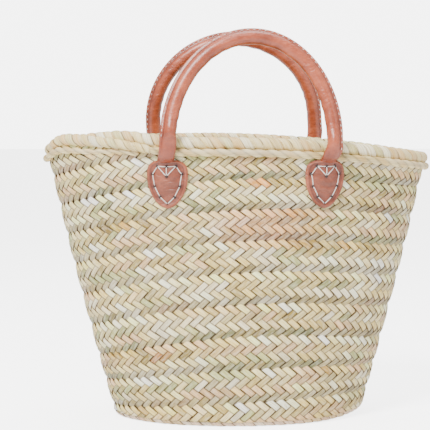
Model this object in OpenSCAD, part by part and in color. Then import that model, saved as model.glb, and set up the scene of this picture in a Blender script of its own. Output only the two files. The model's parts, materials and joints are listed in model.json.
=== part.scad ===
// Oval market basket: one plaited palm-leaf braid sewn in a rising spiral, a wrapped
// rim, and two leather handles that fold down outwards.
// Millimetres, +Z up. Origin: centre of the underside. +X is the long way, -Y the front.

/* [Basket] */
// Length of the base, end to end
base_length = 275; // [240:1:320]
// Depth of the base, front to back
base_depth = 186; // [160:1:220]
// How far each end leans out over the full height
end_flare = 76; // [40:1:100]
// How far the front and the back lean out over the full height
side_flare = 15; // [0:1:40]
// Extra swell half way up the wall
belly = 2.5; // [0:0.5:6]
// Thickness of the plaited wall
wall_t = 5; // [4:0.5:8]
// How far the right end of the base curves up off the ground
base_lift = 6; // [0:1:10]

/* [Spiral braid] */
// Height of the first seam at the middle of the front
seam_first = 26; // [22:1:30]
// Rise of one turn of the braid at the foot
seam_rise = 36.6; // [34:0.1:38]
// How much less each further turn rises
seam_close = 0.32; // [0.2:0.01:0.4]
// How far the seams hang down at the two ends
end_droop = 21; // [0:1:25]
// Swell of a full braid between its seams
braid_swell = 2; // [0:0.5:3]
// Gap between two turns, which holds the lacing cord
seam_gap = 1.4; // [1:0.1:2]

/* [Rim] */
// Height of the rim's roll, taken all round
rim_level = 300; // [290:1:310]
// Radius of the wrapped roll
rim_r = 5.6; // [5:0.1:7]
// Radius of the roll's core
rim_core_r = 4; // [3:0.1:4.5]
// Radius of the twisted cord under the roll
rim_cord_r = 3.6; // [3:0.1:4]
// Radius of the foot cord
foot_r = 5; // [4:0.5:6]

/* [Handles] */
// Leg spacing of the front handle
front_span = 173; // [160:1:180]
// Leg spacing of the back handle
back_span = 192; // [170:1:195]
// Top of the front handle above the ground
front_top = 424; // [400:1:426]
// Top of the back handle above the ground
back_top = 434; // [400:1:436]
// Outer radius of the leather sleeve
sleeve_r = 7.25; // [6.5:0.25:8]
// Thickness of the leather
leather_t = 1.8; // [1.4:0.1:2]
// How far the handles lean in over the opening, in degrees
handle_lean = 12; // [8:1:14]
// How far the front handle leans to the right, in degrees
front_tilt = 4; // [-5:0.5:5]
// How far the back handle leans to the right, seen from the front, in degrees
back_tilt = -5; // [-6:0.5:6]
// How far the handles sit to the right of the middle
handle_shift = 4; // [0:1:5]

/* [Patches] */
// Width of a leather patch
patch_w = 44; // [40:1:48]
// Height of a leather patch
patch_h = 52; // [48:1:56]
// Distance between the two patches of one handle
patch_span = 166; // [160:1:172]
// Height of the middle of a patch
patch_level = 262; // [250:1:265]

/* [Hidden] */
steps = 48;
step = 360 / steps;
full_height = 300;
end_slope = end_flare / full_height;
side_slope = side_flare / full_height;
play = 0.2;

// The turns start and end at the middle of the back, where the spiral angle is 90 degrees.
turn_start = 90;
front_angle = 270;
turns = 10;
least_band = 1.5;
// The seams hang down fully from this turn on, and not at all under the first one.
droop_from = 0.3;
droop_full = 3;
seam_tilt = 2;
// The rim is lower at the right end, and higher at the back and over the long sides.
rim_right = -4.5;
rim_back = 2.8;
rim_ends = -7.1;
// The rim swells upwards over this stretch, left of the front handle.
crest = 11;
crest_angle = 218;
crest_width = 24;

tube_sides = 8;
wrap_slit = 43;
wrap_outer_points = 8;
wrap_inner_points = 6;
rim_cord_out = 4.5;
rim_cord_drop = 7.2;
lacing_h = 1;
lacing_w = 2.6;

foot_inset = 4;
foot_top = 2 * foot_r + play;
flat_base = 0.5;
base_t = 5;
base_inset = foot_inset + foot_r + 0.4;
braid_w = 36;

pivot_out = 112;
pivot_z = 290;
neck_h = 15;
neck_out = 4.5;
neck_r = 2.2;
neck_slices = 3;
neck_slice = 0.4;
core_r = 5.2;
flange_w = 3;
flange_t = 2.4;
slit = 0.3;
thread_r = 0.4;
plug_h = 3;

patch_out = 4.6;
tab_out = 2.4;
tab_w = 17;
tab_rise = 0.5;
patch_corner = 12;
patch_point = 6;
hole_r = 0.8;
stitch_r = 0.6;
heart = [[-9.5, 19], [0, 18.5], [9.5, 19], [15, 11], [13, -1], [7.5, -12], [0, -20],
         [-7.5, -12], [-13, -1], [-15, 11]];
heart_v = [0, 9];

straw = "#ddd3a8";
straw_dark = "#c9b983";
cord_tan = "#cfc095";
leather = "#cb8064";
leather_dark = "#b8705a";
thread_white = "#efe9dd";

// ---- the basket's shape ----

// Half length and half depth of the wall's outer face at height z
function swell(z) = belly * sin(180 * z / full_height);
function half_length(z) = base_length / 2 + end_slope * z + swell(z);
function half_depth(z) = base_depth / 2 + side_slope * z + swell(z);

// A point at angle t and height z, d outside the wall's outer face
function wall_point(t, z, d) =
    [(half_length(z) + d) * cos(t), (half_depth(z) + d) * sin(t), z];

// The base lies flat up to flat_base of its half length, and curves up past it at the right
function ground(t) = base_lift * pow(max(0, cos(t) - flat_base) / (1 - flat_base), 2);
function rim_z(t) =
    rim_level + rim_right * cos(t) + rim_back * sin(t) + rim_ends * cos(2 * t)
    + crest * exp(-pow((t % 360 - crest_angle) / crest_width, 4));
function wall_low(t) = ground(t) + foot_top;
function wall_high(t) = rim_z(t) - rim_core_r - play;

// Height of the spiral seam, u turns up, at angle t
function droop(u) =
    end_droop * max(0, min(1, (u - droop_from) / (droop_full - droop_from)));
function seam_z(u, t) =
    seam_first + seam_rise * (u - 1) - seam_close * pow(u - 1, 2)
    - droop(u) * pow(cos(t), 2) + seam_tilt * cos(t);
function turn_at(k, t) = k + (t - front_angle) / 360;

// Lower and upper edge of turn k at angle t
function within_wall(z, t) = max(wall_low(t), min(wall_high(t), z));
function band_low(k, t) = within_wall(seam_z(turn_at(k - 1, t), t) + seam_gap / 2, t);
function band_high(k, t) = within_wall(seam_z(turn_at(k, t), t) - seam_gap / 2, t);

// Cross-section of turn k: outside low, middle and high, then inside high and low
function band_section(k, t) =
    let (low = band_low(k, t), high = band_high(k, t), mid = (low + high) / 2)
    let (out = braid_swell * min(1, (high - low) / seam_rise))
    [wall_point(t, low, 0), wall_point(t, mid, out), wall_point(t, high, 0),
     wall_point(t, high, -wall_t), wall_point(t, low, -wall_t)];

// Cross-section of a round or flat cord: points [out, up] round the place [d, z]
function cord_section(t, z, d, shape) =
    [for (p = shape) wall_point(t, z, d) + [p[0] * cos(t), p[0] * sin(t), p[1]]];
function arc_points(r, from, to, n) =
    [for (i = [0 : n]) let (a = from + (to - from) * i / n) [r * cos(a), r * sin(a)]];
function round_points(r) =
    [for (i = [0 : tube_sides - 1])
        let (a = (i + 0.5) * 360 / tube_sides) [r * cos(a), r * sin(a)] / cos(180 / tube_sides)];

// ---- sweeping cross-sections along the oval ----

function flat_list(rows) = [for (row = rows) for (p = row) p];

// Two triangles on each four-sided patch between neighbouring sections
function side_faces(count, n, closed) =
    [for (i = [0 : count - (closed ? 1 : 2)]) for (j = [0 : n - 1])
        let (a = i * n, b = ((i + 1) % count) * n, j2 = (j + 1) % n)
        each [[a + j, b + j2, b + j], [a + j, a + j2, b + j2]]];
function end_faces(count, n) =
    [[for (j = [0 : n - 1]) n - 1 - j], [for (j = [0 : n - 1]) (count - 1) * n + j]];

module sweep(sections, closed) {
    count = len(sections);
    n = len(sections[0]);
    faces = side_faces(count, n, closed);
    polyhedron(points = flat_list(sections),
               faces = closed ? faces : concat(faces, end_faces(count, n)));
}

module ring(z_shift, d, shape) {
    sweep([for (i = [0 : steps - 1]) let (t = i * step)
        cord_section(t, rim_z(t) + z_shift, d, shape)], true);
}

// ---- base ----

function base_point(t, inset, z) =
    [(base_length / 2 - inset) * cos(t), (base_depth / 2 - inset) * sin(t),
     z + ground(t) * pow(1 - 2 * inset / base_depth, 2)];

module base_centre_braid() {
    inset = base_inset + 2 * braid_w;
    outline = [for (i = [0 : steps - 1]) base_point(i * step, inset, 0)];
    color(straw_dark)
    linear_extrude(base_t)
    polygon([for (p = outline) [p[0], p[1]]]);
}

// Turn k of the base, counted from the centre
module base_turn(k) {
    outer = base_inset + (2 - k) * braid_w;
    inner = outer + braid_w - play;
    color(k == 1 ? straw : straw_dark)
    sweep([for (i = [0 : steps - 1]) let (t = i * step)
        [base_point(t, outer, 0), base_point(t, outer, base_t),
         base_point(t, inner, base_t), base_point(t, inner, 0)]], true);
}

module base_turn_1() base_turn(1);
module base_turn_2() base_turn(2);

module foot_cord() {
    color(straw)
    sweep([for (i = [0 : steps - 1]) let (t = i * step)
        cord_section(t, ground(t) + foot_r, -foot_inset, round_points(foot_r))], true);
}

// ---- wall ----

module wall_turn(k) {
    angles = [for (i = [0 : steps]) let (t = turn_start + i * step)
        if (band_high(k, t) - band_low(k, t) > least_band) t];
    color(k % 2 == 0 ? straw : straw_dark)
    sweep([for (t = angles) band_section(k, t)], false);
}

module lacing_cord() {
    flat = [[lacing_w / 2, -lacing_h / 2], [lacing_w / 2, lacing_h / 2],
            [-lacing_w / 2, lacing_h / 2], [-lacing_w / 2, -lacing_h / 2]];
    margin = seam_gap / 2;
    angles = [for (i = [0 : steps * turns]) let (t = turn_start + i * step)
        let (z = seam_z(turn_at(1, t), t))
        if (z > wall_low(t) + margin && z < wall_high(t) - margin) t];
    color(cord_tan)
    sweep([for (t = angles)
        cord_section(t, seam_z(turn_at(1, t), t), -wall_t / 2, flat)], false);
}

// ---- rim ----

module rim_core() {
    color(cord_tan)
    ring(0, -wall_t / 2, round_points(rim_core_r * cos(180 / tube_sides)));
}

// A channel that opens downwards, round the core and the wall's top edge
module rim_wrap() {
    outside = arc_points(rim_r, wrap_slit - 90, 270 - wrap_slit, wrap_outer_points);
    half_step = (180 - wrap_slit) / wrap_inner_points;
    bore = (rim_core_r + play) / cos(half_step);
    inside = arc_points(bore, 270 - wrap_slit, wrap_slit - 90, wrap_inner_points);
    color(straw)
    ring(0, -wall_t / 2, concat(outside, inside));
}

module rim_cord() {
    color(cord_tan)
    ring(-rim_cord_drop, rim_cord_out, round_points(rim_cord_r * cos(180 / tube_sides)));
}

// ---- patches ----

// side is -1 at the left and 1 at the right; face is -1 on the front and 1 on the back
function patch_angle(side) = acos(side * patch_span / 2 / half_length(patch_level));
function patch_yaw(side) =
    let (t = patch_angle(side))
    atan(half_depth(patch_level) * cos(t) / (half_length(patch_level) * sin(t)));

// Puts its children on the wall: +Z out of the wall, +Y up, at height z
module on_wall(side, face, z, out) {
    t = patch_angle(side);
    turned = face < 0 ? 0 : 180;
    way = face < 0 ? side : -side;
    rotate([0, 0, turned])
    translate([way * abs(half_length(z) * cos(t)), -half_depth(z) * sin(t), z])
    rotate([90 + atan(side_slope), 0, way * patch_yaw(1)])
    translate([0, 0, out])
    children();
}

module shield() {
    reach = patch_w / 2 - patch_corner;
    hull() {
        translate([-reach, patch_h / 2 - patch_corner]) circle(patch_corner, $fn = 32);
        translate([reach, patch_h / 2 - patch_corner]) circle(patch_corner, $fn = 32);
        translate([0, patch_point - patch_h / 2]) circle(patch_point, $fn = 32);
    }
}

module patch(side, face) {
    color(leather)
    on_wall(side, face, patch_level, patch_out)
    difference() {
        linear_extrude(leather_t) shield();
        for (p = concat(heart, [heart_v])) {
            translate([p[0], p[1], -1]) cylinder(r = hole_r, h = leather_t + 2, $fn = 16);
        }
    }
}

module stitch(a, b) {
    run = norm(b - a);
    translate([a[0], a[1], 0])
    rotate([0, 90, atan2(b[1] - a[1], b[0] - a[0])])
    cylinder(r = stitch_r, h = run, $fn = 16);
}

module stitching(side, face) {
    pairs = [for (i = [2 : len(heart)]) [heart[i % len(heart)], heart[(i + 1) % len(heart)]]];
    color(thread_white)
    on_wall(side, face, patch_level, patch_out + leather_t + stitch_r + 0.1)
    for (pair = pairs) {
        inset = 0.8 * (pair[1] - pair[0]) / norm(pair[1] - pair[0]);
        stitch(pair[0] + inset, pair[1] - inset);
    }
}

// The flattened leather between the patch and the wall
module handle_end(side, face) {
    color(leather_dark)
    on_wall(side, face, patch_level, tab_out)
    linear_extrude(leather_t)
    translate([-tab_w / 2, -patch_h / 4])
    square([tab_w, 3 * patch_h / 4 + tab_rise]);
}

module front_left_patch() patch(-1, -1);
module front_right_patch() patch(1, -1);
module back_left_patch() patch(1, 1);
module back_right_patch() patch(-1, 1);
module front_left_stitching() stitching(-1, -1);
module front_right_stitching() stitching(1, -1);
module back_left_stitching() stitching(1, 1);
module back_right_stitching() stitching(-1, 1);
module front_left_handle_end() handle_end(-1, -1);
module front_right_handle_end() handle_end(1, -1);
module back_left_handle_end() handle_end(1, 1);
module back_right_handle_end() handle_end(-1, 1);

// ---- handles ----

// Puts a handle drawn upright in the XZ plane, from z = 0 at its necks, on its side
module on_rim(face) {
    turned = face < 0 ? 0 : 180;
    tilt = face < 0 ? front_tilt : -back_tilt;
    rotate([0, 0, turned])
    translate([-face * handle_shift, -pivot_out - neck_out, pivot_z + neck_h])
    rotate([-handle_lean, tilt, 0])
    children();
}

// Height of the arch's centre line above the necks, up the leaning plane
function arch_rise(top) = (top - pivot_z - neck_h - sleeve_r) / cos(handle_lean);

// A bar bent over two straight legs that start at z = low, from a profile drawn at x = 0
module arch(span, top, low) {
    leg = arch_rise(top) - span / 2;
    translate([0, 0, leg])
    rotate([90, 0, 0])
    rotate_extrude(angle = 180, $fn = 64)
    translate([span / 2, 0])
    children();
    for (side = [0, 180]) {
        rotate([0, 0, side])
        translate([span / 2, 0, low])
        linear_extrude(leg - low)
        children();
    }
}

module handle_core(span, top, face) {
    color(cord_tan)
    on_rim(face)
    arch(span, top, plug_h + play)
    circle(core_r, $fn = 32);
}

// One leg's end: it flattens from the round sleeve down to the edge where it bends
module neck_section(span, side, face, f) {
    tilt = face < 0 ? front_tilt : -back_tilt;
    reach = neck_h - side * span / 2 * sin(tilt);
    on_rim(face)
    translate([side * span / 2, f * (neck_out + reach * tan(handle_lean)), -f * reach])
    linear_extrude(neck_slice)
    scale([1, 1 - f * (1 - neck_r / sleeve_r)])
    circle(sleeve_r - 0.3, $fn = 24);
}

module neck(span, side, face) {
    for (i = [1 : neck_slices]) {
        hull() {
            neck_section(span, side, face, (i - 1) / neck_slices);
            neck_section(span, side, face, i / neck_slices);
        }
    }
}

// The leather is folded round the core, and its two edges meet in the seam allowance
module sleeve_section() {
    difference() {
        union() {
            circle(sleeve_r, $fn = 24);
            translate([0, -flange_t / 2]) square([sleeve_r + flange_w, flange_t]);
        }
        circle(core_r + play, $fn = 24);
        translate([0, -slit / 2]) square([sleeve_r + 2 * flange_w, slit]);
    }
}

module handle_sleeve(span, top, face) {
    color(leather) {
        on_rim(face) {
            arch(span, top, plug_h) sleeve_section();
            for (side = [-1, 1]) {
                translate([side * span / 2, 0, 0])
                cylinder(r = sleeve_r, h = plug_h + play / 2, $fn = 24);
            }
        }
        neck(span, -1, face);
        neck(span, 1, face);
    }
}

// The seam thread lies along both faces of the seam allowance
module handle_seam(span, top, face) {
    color(thread_white)
    on_rim(face)
    arch(span, top, plug_h)
    for (side = [-1, 1]) {
        translate([sleeve_r + flange_w / 2, side * (flange_t / 2 + thread_r + 0.05)])
        circle(thread_r, $fn = 16);
    }
}

module front_handle_core() handle_core(front_span, front_top, -1);
module front_handle_sleeve() handle_sleeve(front_span, front_top, -1);
module front_handle_seam() handle_seam(front_span, front_top, -1);
module back_handle_core() handle_core(back_span, back_top, 1);
module back_handle_sleeve() handle_sleeve(back_span, back_top, 1);
module back_handle_seam() handle_seam(back_span, back_top, 1);

base_centre_braid();
base_turn_1();
base_turn_2();
foot_cord();
wall_turn(1);  // wall_turn_1
wall_turn(2);  // wall_turn_2
wall_turn(3);  // wall_turn_3
wall_turn(4);  // wall_turn_4
wall_turn(5);  // wall_turn_5
wall_turn(6);  // wall_turn_6
wall_turn(7);  // wall_turn_7
wall_turn(8);  // wall_turn_8
wall_turn(9);  // wall_turn_9
wall_turn(10);  // wall_turn_10
lacing_cord();
rim_core();
rim_wrap();
rim_cord();
front_left_patch();
front_right_patch();
back_left_patch();
back_right_patch();
front_left_stitching();
front_right_stitching();
back_left_stitching();
back_right_stitching();
front_left_handle_end();
front_right_handle_end();
back_left_handle_end();
back_right_handle_end();
front_handle_core();
front_handle_sleeve();
front_handle_seam();
back_handle_core();
back_handle_sleeve();
back_handle_seam();
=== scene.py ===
"""A market basket of plaited palm leaf with two leather handles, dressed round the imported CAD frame.

The wall is plaited flat, one turn of braid at a time, and then laid along the spiral seams. The rim and
the foot are leaf-wrapped rolls, and the handles are leather folded round a rope core.
"""

import json
import logging
import math
from dataclasses import dataclass, field
from enum import Enum
from typing import Callable, Sequence

import bmesh
import bpy
import numpy as np
from mathutils import Matrix, Vector

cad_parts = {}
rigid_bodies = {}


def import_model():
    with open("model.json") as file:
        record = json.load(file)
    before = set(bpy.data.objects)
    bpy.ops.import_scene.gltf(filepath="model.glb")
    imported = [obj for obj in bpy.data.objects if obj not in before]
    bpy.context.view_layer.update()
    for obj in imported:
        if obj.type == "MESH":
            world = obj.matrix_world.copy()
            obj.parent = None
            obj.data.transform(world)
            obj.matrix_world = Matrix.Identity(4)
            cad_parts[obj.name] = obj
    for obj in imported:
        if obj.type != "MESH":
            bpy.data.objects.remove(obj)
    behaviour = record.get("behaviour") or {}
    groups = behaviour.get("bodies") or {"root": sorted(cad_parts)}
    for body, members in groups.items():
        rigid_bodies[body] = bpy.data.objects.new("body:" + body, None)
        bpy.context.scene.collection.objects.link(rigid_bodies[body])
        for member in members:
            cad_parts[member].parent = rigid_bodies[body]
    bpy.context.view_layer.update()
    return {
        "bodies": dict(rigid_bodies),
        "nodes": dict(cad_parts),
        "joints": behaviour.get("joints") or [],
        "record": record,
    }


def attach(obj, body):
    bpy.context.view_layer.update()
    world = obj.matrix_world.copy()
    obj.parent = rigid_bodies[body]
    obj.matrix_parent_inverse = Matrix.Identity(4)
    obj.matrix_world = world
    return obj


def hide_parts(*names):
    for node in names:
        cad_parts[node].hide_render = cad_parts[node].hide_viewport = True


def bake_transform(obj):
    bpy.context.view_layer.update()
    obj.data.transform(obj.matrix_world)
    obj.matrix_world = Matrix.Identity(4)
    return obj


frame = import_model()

MM = 0.001
TAU = 2 * math.pi
FRONT = math.radians(270)
BACK = math.radians(90)
LOG = logging.getLogger("basket")
Array = np.ndarray
Colour = tuple[float, float, float]


class Lean(Enum):
    """Which way the leaves of a plait row lean."""

    RISING = 1
    FALLING = -1


class Face(Enum):
    """The two long sides of the basket."""

    FRONT = -1
    BACK = 1


class Side(Enum):
    """The two ends of a handle, as seen by someone who faces that side of the basket."""

    LEFT = -1
    RIGHT = 1


# ---------------------------------------------------------------- helpers


def linear(red: int, green: int, blue: int) -> Colour:
    """Turns a display colour of 0 to 255 into a linear one.

    Args:
        red: the red part.
        green: the green part.
        blue: the blue part.

    Returns:
        The three linear parts, each from 0 to 1.
    """
    parts = np.array([red, green, blue]) / 255
    low = parts / 12.92
    high = ((parts + 0.055) / 1.055) ** 2.4
    return tuple(float(v) for v in np.where(parts <= 0.04045, low, high))


def unit(rows: Array) -> Array:
    """Scales each row of vectors to length one."""
    return rows / np.linalg.norm(rows, axis=-1, keepdims=True)


def ease(x: Array) -> Array:
    """Runs smoothly from 0 to 1 as x does."""
    x = np.clip(x, 0, 1)
    return x * x * (3 - 2 * x)


def run_along(points: Array) -> Array:
    """Returns the distance along a line at each of its points."""
    steps = np.linalg.norm(np.diff(points, axis=0), axis=1)
    return np.concatenate([[0], np.cumsum(steps)])


def rows_at(where: Array, run: Array, rows: Array) -> Array:
    """Returns rows of three read off a line at some distances along it."""
    return np.stack([np.interp(where, run, rows[:, i]) for i in range(3)], axis=-1)


def finished(name: str, bm: bmesh.types.BMesh) -> bpy.types.Object:
    """Turns a bmesh into an object of the scene, and frees the bmesh.

    Args:
        name: the piece's name.
        bm: the modelled mesh.

    Returns:
        The new object, at the origin.
    """
    mesh = bpy.data.meshes.new(name)
    bm.to_mesh(mesh)
    bm.free()
    piece = bpy.data.objects.new(name, mesh)
    bpy.context.scene.collection.objects.link(piece)
    return piece


def repeated(name: str, single: bpy.types.Mesh, count: int) -> bpy.types.Object:
    """Makes one piece of many copies of a mesh, all in the same place.

    Args:
        name: the piece's name.
        single: the mesh to copy, which is then removed.
        count: how many copies.

    Returns:
        The piece, with the copies' vertices one copy after another.
    """
    bm = bmesh.new()
    for _ in range(count):
        bm.from_mesh(single)
    bpy.data.meshes.remove(single)
    return finished(name, bm)


def rework(mesh: bpy.types.Mesh, change: Callable[[bmesh.types.BMesh], object]) -> None:
    """Edits a mesh in place with bmesh operators.

    Args:
        mesh: the mesh to edit.
        change: makes its changes to the bmesh that it is given.
    """
    bm = bmesh.new()
    bm.from_mesh(mesh)
    change(bm)
    bm.to_mesh(mesh)
    bm.free()


def places(mesh: bpy.types.Mesh) -> Array:
    """Returns the places of a mesh's vertices.

    Args:
        mesh: the mesh to read.

    Returns:
        One row of X, Y and Z for each vertex.
    """
    flat = np.empty(len(mesh.vertices) * 3)
    mesh.vertices.foreach_get("co", flat)
    return flat.reshape(-1, 3)


def reshape(mesh: bpy.types.Mesh, bend: Callable[[Array], Array]) -> None:
    """Bends a mesh by moving all of its vertices at once.

    Args:
        mesh: the mesh to bend.
        bend: takes the vertex places and returns the new ones.
    """
    mesh.vertices.foreach_set("co", bend(places(mesh)).ravel())
    mesh.update()


def smooth(piece: bpy.types.Object, angle: float = 42) -> None:
    """Shades a piece smoothly, with sharp edges where it turns by more than an angle in degrees."""
    piece.data.shade_smooth()
    piece.data.set_sharp_from_angle(angle=math.radians(angle))


def weld(piece: bpy.types.Object, gap: float = 0.02 * MM) -> None:
    """Closes the seams and poles of a bent mesh, and turns its faces outwards.

    Args:
        piece: the bent piece.
        gap: how near to each other two vertices become one.
    """

    def close(bm: bmesh.types.BMesh) -> None:
        """Joins the vertices and settles the normals."""
        bmesh.ops.remove_doubles(bm, verts=bm.verts, dist=gap)
        bmesh.ops.recalc_face_normals(bm, faces=bm.faces)

    rework(piece.data, close)


def paint(mesh: bpy.types.Mesh, name: str, values: Array) -> None:
    """Stores one value, or one colour, for each vertex.

    Args:
        mesh: the mesh to paint.
        name: the attribute's name.
        values: one number a vertex, or a row of three linear colour parts.
    """
    if values.ndim == 1:
        mesh.attributes.new(name, "FLOAT", "POINT").data.foreach_set("value", values)
        return
    rows = np.column_stack([values, np.ones(len(values))])
    mesh.attributes.new(name, "FLOAT_COLOR", "POINT").data.foreach_set("color", rows.ravel())


def flat_sheet(name: str, along: int, across: int) -> bpy.types.Object:
    """Makes a flat sheet, one unit square, with its corner at the origin and a UV map over it.

    Args:
        name: the piece's name.
        along: faces along X.
        across: faces along Y.

    Returns:
        The sheet, ready to be bent.
    """
    bm = bmesh.new()
    bmesh.ops.create_grid(bm, x_segments=along, y_segments=across, size=0.5)
    bmesh.ops.translate(bm, verts=bm.verts, vec=(0.5, 0.5, 0))
    leaf_map = bm.loops.layers.uv.new("leaf")
    for face in bm.faces:
        for loop in face.loops:
            loop[leaf_map].uv = loop.vert.co.xy
    return finished(name, bm)


# ---------------------------------------------------------------- the basket's shape


@dataclass(frozen=True)
class BasketShape:
    """The oval wall, the spiral seams and the rim line, which every woven piece follows."""

    base_length: float = 275 * MM
    base_depth: float = 186 * MM
    end_slope: float = 76 / 300
    side_slope: float = 15 / 300
    full_height: float = 300 * MM
    belly: float = 2.5 * MM
    wall: float = 5 * MM
    base_lift: float = 6 * MM
    flat_part: float = 0.5
    seam_first: float = 26 * MM
    seam_rise: float = 36.6 * MM
    seam_close: float = 0.32 * MM
    end_droop: float = 21 * MM
    seam_tilt: float = 2 * MM
    droop_from: float = 0.3
    droop_over: float = 2.7
    rim_level: float = 300 * MM
    rim_right: float = -4.5 * MM
    rim_back: float = 2.8 * MM
    rim_ends: float = -7.1 * MM
    crest: float = 11 * MM
    crest_angle: float = 218
    crest_width: float = 24

    def swell(self, z: Array) -> Array:
        """Returns how far the wall swells out at a height."""
        return self.belly * np.sin(math.pi * z / self.full_height)

    def half_length(self, z: Array) -> Array:
        """Returns half the wall's length at a height."""
        return self.base_length / 2 + self.end_slope * z + self.swell(z)

    def half_depth(self, z: Array) -> Array:
        """Returns half the wall's depth at a height."""
        return self.base_depth / 2 + self.side_slope * z + self.swell(z)

    def outward(self, t: Array, z: Array) -> Array:
        """Returns the level direction that points out of the wall.

        Args:
            t: the angles round the wall.
            z: the heights.

        Returns:
            One row of length one for each place.
        """
        x = self.half_depth(z) * np.cos(t)
        y = self.half_length(z) * np.sin(t)
        return unit(np.stack([x, y, np.zeros_like(x)], axis=-1))

    def place(self, t: Array, z: Array, out: Array) -> Array:
        """Returns places on the wall or beside it.

        Args:
            t: the angles round the wall.
            z: the heights.
            out: the distances out of the wall's outer face.

        Returns:
            One row for each place.
        """
        t, z, out = np.broadcast_arrays(t, z, out)
        x = self.half_length(z) * np.cos(t)
        y = self.half_depth(z) * np.sin(t)
        return np.stack([x, y, z], axis=-1) + self.outward(t, z) * out[..., None]

    def ground(self, t: Array) -> Array:
        """Returns how far the foot is lifted at an angle."""
        past = np.maximum(0, np.cos(t) - self.flat_part) / (1 - self.flat_part)
        return self.base_lift * past**2

    def rim(self, t: Array) -> Array:
        """Returns the height of the rim, which is higher in a crest near its left end.

        Args:
            t: the angles round the wall.

        Returns:
            The height of the middle of the rim's roll at each angle.
        """
        wave = self.rim_right * np.cos(t) + self.rim_back * np.sin(t) + self.rim_ends * np.cos(2 * t)
        from_crest = (np.degrees(t) % 360 - self.crest_angle) / self.crest_width
        return self.rim_level + wave + self.crest * np.exp(-(from_crest**4))

    def seam(self, turns: Array, t: Array) -> Array:
        """Returns the height of the spiral seam.

        Args:
            turns: how many turns it has climbed.
            t: the angles round the wall.

        Returns:
            The heights.
        """
        droop = self.end_droop * np.clip((turns - self.droop_from) / self.droop_over, 0, 1)
        up = turns - 1
        climb = self.seam_first + self.seam_rise * up - self.seam_close * up**2
        return climb - droop * np.cos(t) ** 2 + self.seam_tilt * np.cos(t)

    def strip(self, turn: int, across: Array, t: Array) -> Array:
        """Returns the height of a place across one turn of braid, 0 at its lower seam and 1 at its upper."""
        return self.seam(turn - 1 + across + (t - FRONT) / TAU, t)

    def even_angles(self, turn: float, samples: int = 1440) -> tuple[Array, float]:
        """Spaces one turn of the spiral evenly along the wall.

        Args:
            turn: the turn's number, which may be a half.
            samples: how many steps the turn is measured in.

        Returns:
            The angles at equal distances from the middle of the back all the way round, and the length.
        """
        t = np.linspace(BACK, BACK + TAU, samples + 1)
        z = np.clip(self.seam(turn - 0.5 + (t - FRONT) / TAU, t), 0, self.full_height)
        run = run_along(self.place(t, z, 0.0))
        return np.interp(np.linspace(0, run[-1], samples + 1), run, t), float(run[-1])


SHAPE = BasketShape()


# ---------------------------------------------------------------- shader groups and finishes


class Nodes:
    """A small helper that adds and links shader nodes in one tree."""

    def __init__(self, tree: bpy.types.NodeTree) -> None:
        """Keeps the tree that the nodes go in."""
        self.tree = tree

    def add(self, kind: str, **settings: object) -> bpy.types.Node:
        """Adds a node and sets its properties.

        Args:
            kind: the node's type.
            **settings: its properties by name.

        Returns:
            The node.
        """
        node = self.tree.nodes.new(kind)
        for name, value in settings.items():
            setattr(node, name, value)
        return node

    def link(self, source: bpy.types.NodeSocket, target: bpy.types.NodeSocket) -> None:
        """Joins an output to an input."""
        self.tree.links.new(source, target)

    def preset(self, node: bpy.types.Node, **values: float) -> None:
        """Sets plain inputs by name, with an underscore in place of a space."""
        for name, value in values.items():
            node.inputs[name.replace("_", " ")].default_value = value

    def feed(self, socket: bpy.types.NodeSocket, value: object) -> None:
        """Gives an input its value.

        Args:
            socket: the input.
            value: an output to link it to, or a plain value.
        """
        if isinstance(value, bpy.types.NodeSocket):
            self.link(value, socket)
        else:
            socket.default_value = value

    def math(self, operation: str, a: object, b: object = 0.0, c: object = 0.0) -> bpy.types.NodeSocket:
        """Adds a maths node.

        Args:
            operation: what it works out.
            a: its first value or link.
            b: its second.
            c: its third.

        Returns:
            Its result.
        """
        node = self.add("ShaderNodeMath", operation=operation)
        for socket, value in zip(node.inputs, (a, b, c)):
            self.feed(socket, value)
        return node.outputs[0]

    def mix(self, share: object, a: object, b: object, blend: str = "MIX") -> bpy.types.NodeSocket:
        """Mixes two colours.

        Args:
            share: how much of the second colour there is.
            a: the first colour or link.
            b: the second.
            blend: the way to mix them.

        Returns:
            The mixed colour.
        """
        node = self.add("ShaderNodeMix", data_type="RGBA", blend_type=blend)
        self.feed(node.inputs[0], share)
        for socket, value in ((node.inputs[6], a), (node.inputs[7], b)):
            self.feed(socket, (*value, 1.0) if isinstance(value, tuple) else value)
        return node.outputs[2]

    def noise(
        self, vector: object, scale: float, detail: float = 3, rough: float = 0.55
    ) -> bpy.types.NodeSocket:
        """Adds a noise texture.

        Args:
            vector: the coordinates.
            scale: how many clouds go to a unit.
            detail: how many finer layers there are.
            rough: how strong each finer layer is.

        Returns:
            Its value.
        """
        node = self.add("ShaderNodeTexNoise")
        self.feed(node.inputs["Vector"], vector)
        self.preset(node, Scale=scale, Detail=detail, Roughness=rough)
        return node.outputs["Fac"]

    def spread(
        self, value: object, low: float, high: float, to_low: float = 0, to_high: float = 1
    ) -> bpy.types.NodeSocket:
        """Maps a range of values onto another, and holds it there.

        Args:
            value: the value or link.
            low: where the range starts.
            high: where it ends.
            to_low: what its start becomes.
            to_high: what its end becomes.

        Returns:
            The new value.
        """
        node = self.add("ShaderNodeMapRange")
        for socket, number in zip(node.inputs, (value, low, high, to_low, to_high)):
            self.feed(socket, number)
        return node.outputs[0]

    def scaled(self, vector: object, scale: tuple[float, float, float]) -> bpy.types.NodeSocket:
        """Stretches a pattern's coordinates.

        Args:
            vector: the coordinates.
            scale: what X, Y and Z are multiplied by.

        Returns:
            The new coordinates.
        """
        node = self.add("ShaderNodeMapping")
        self.feed(node.inputs["Vector"], vector)
        self.preset(node, Scale=scale)
        return node.outputs["Vector"]


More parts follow.
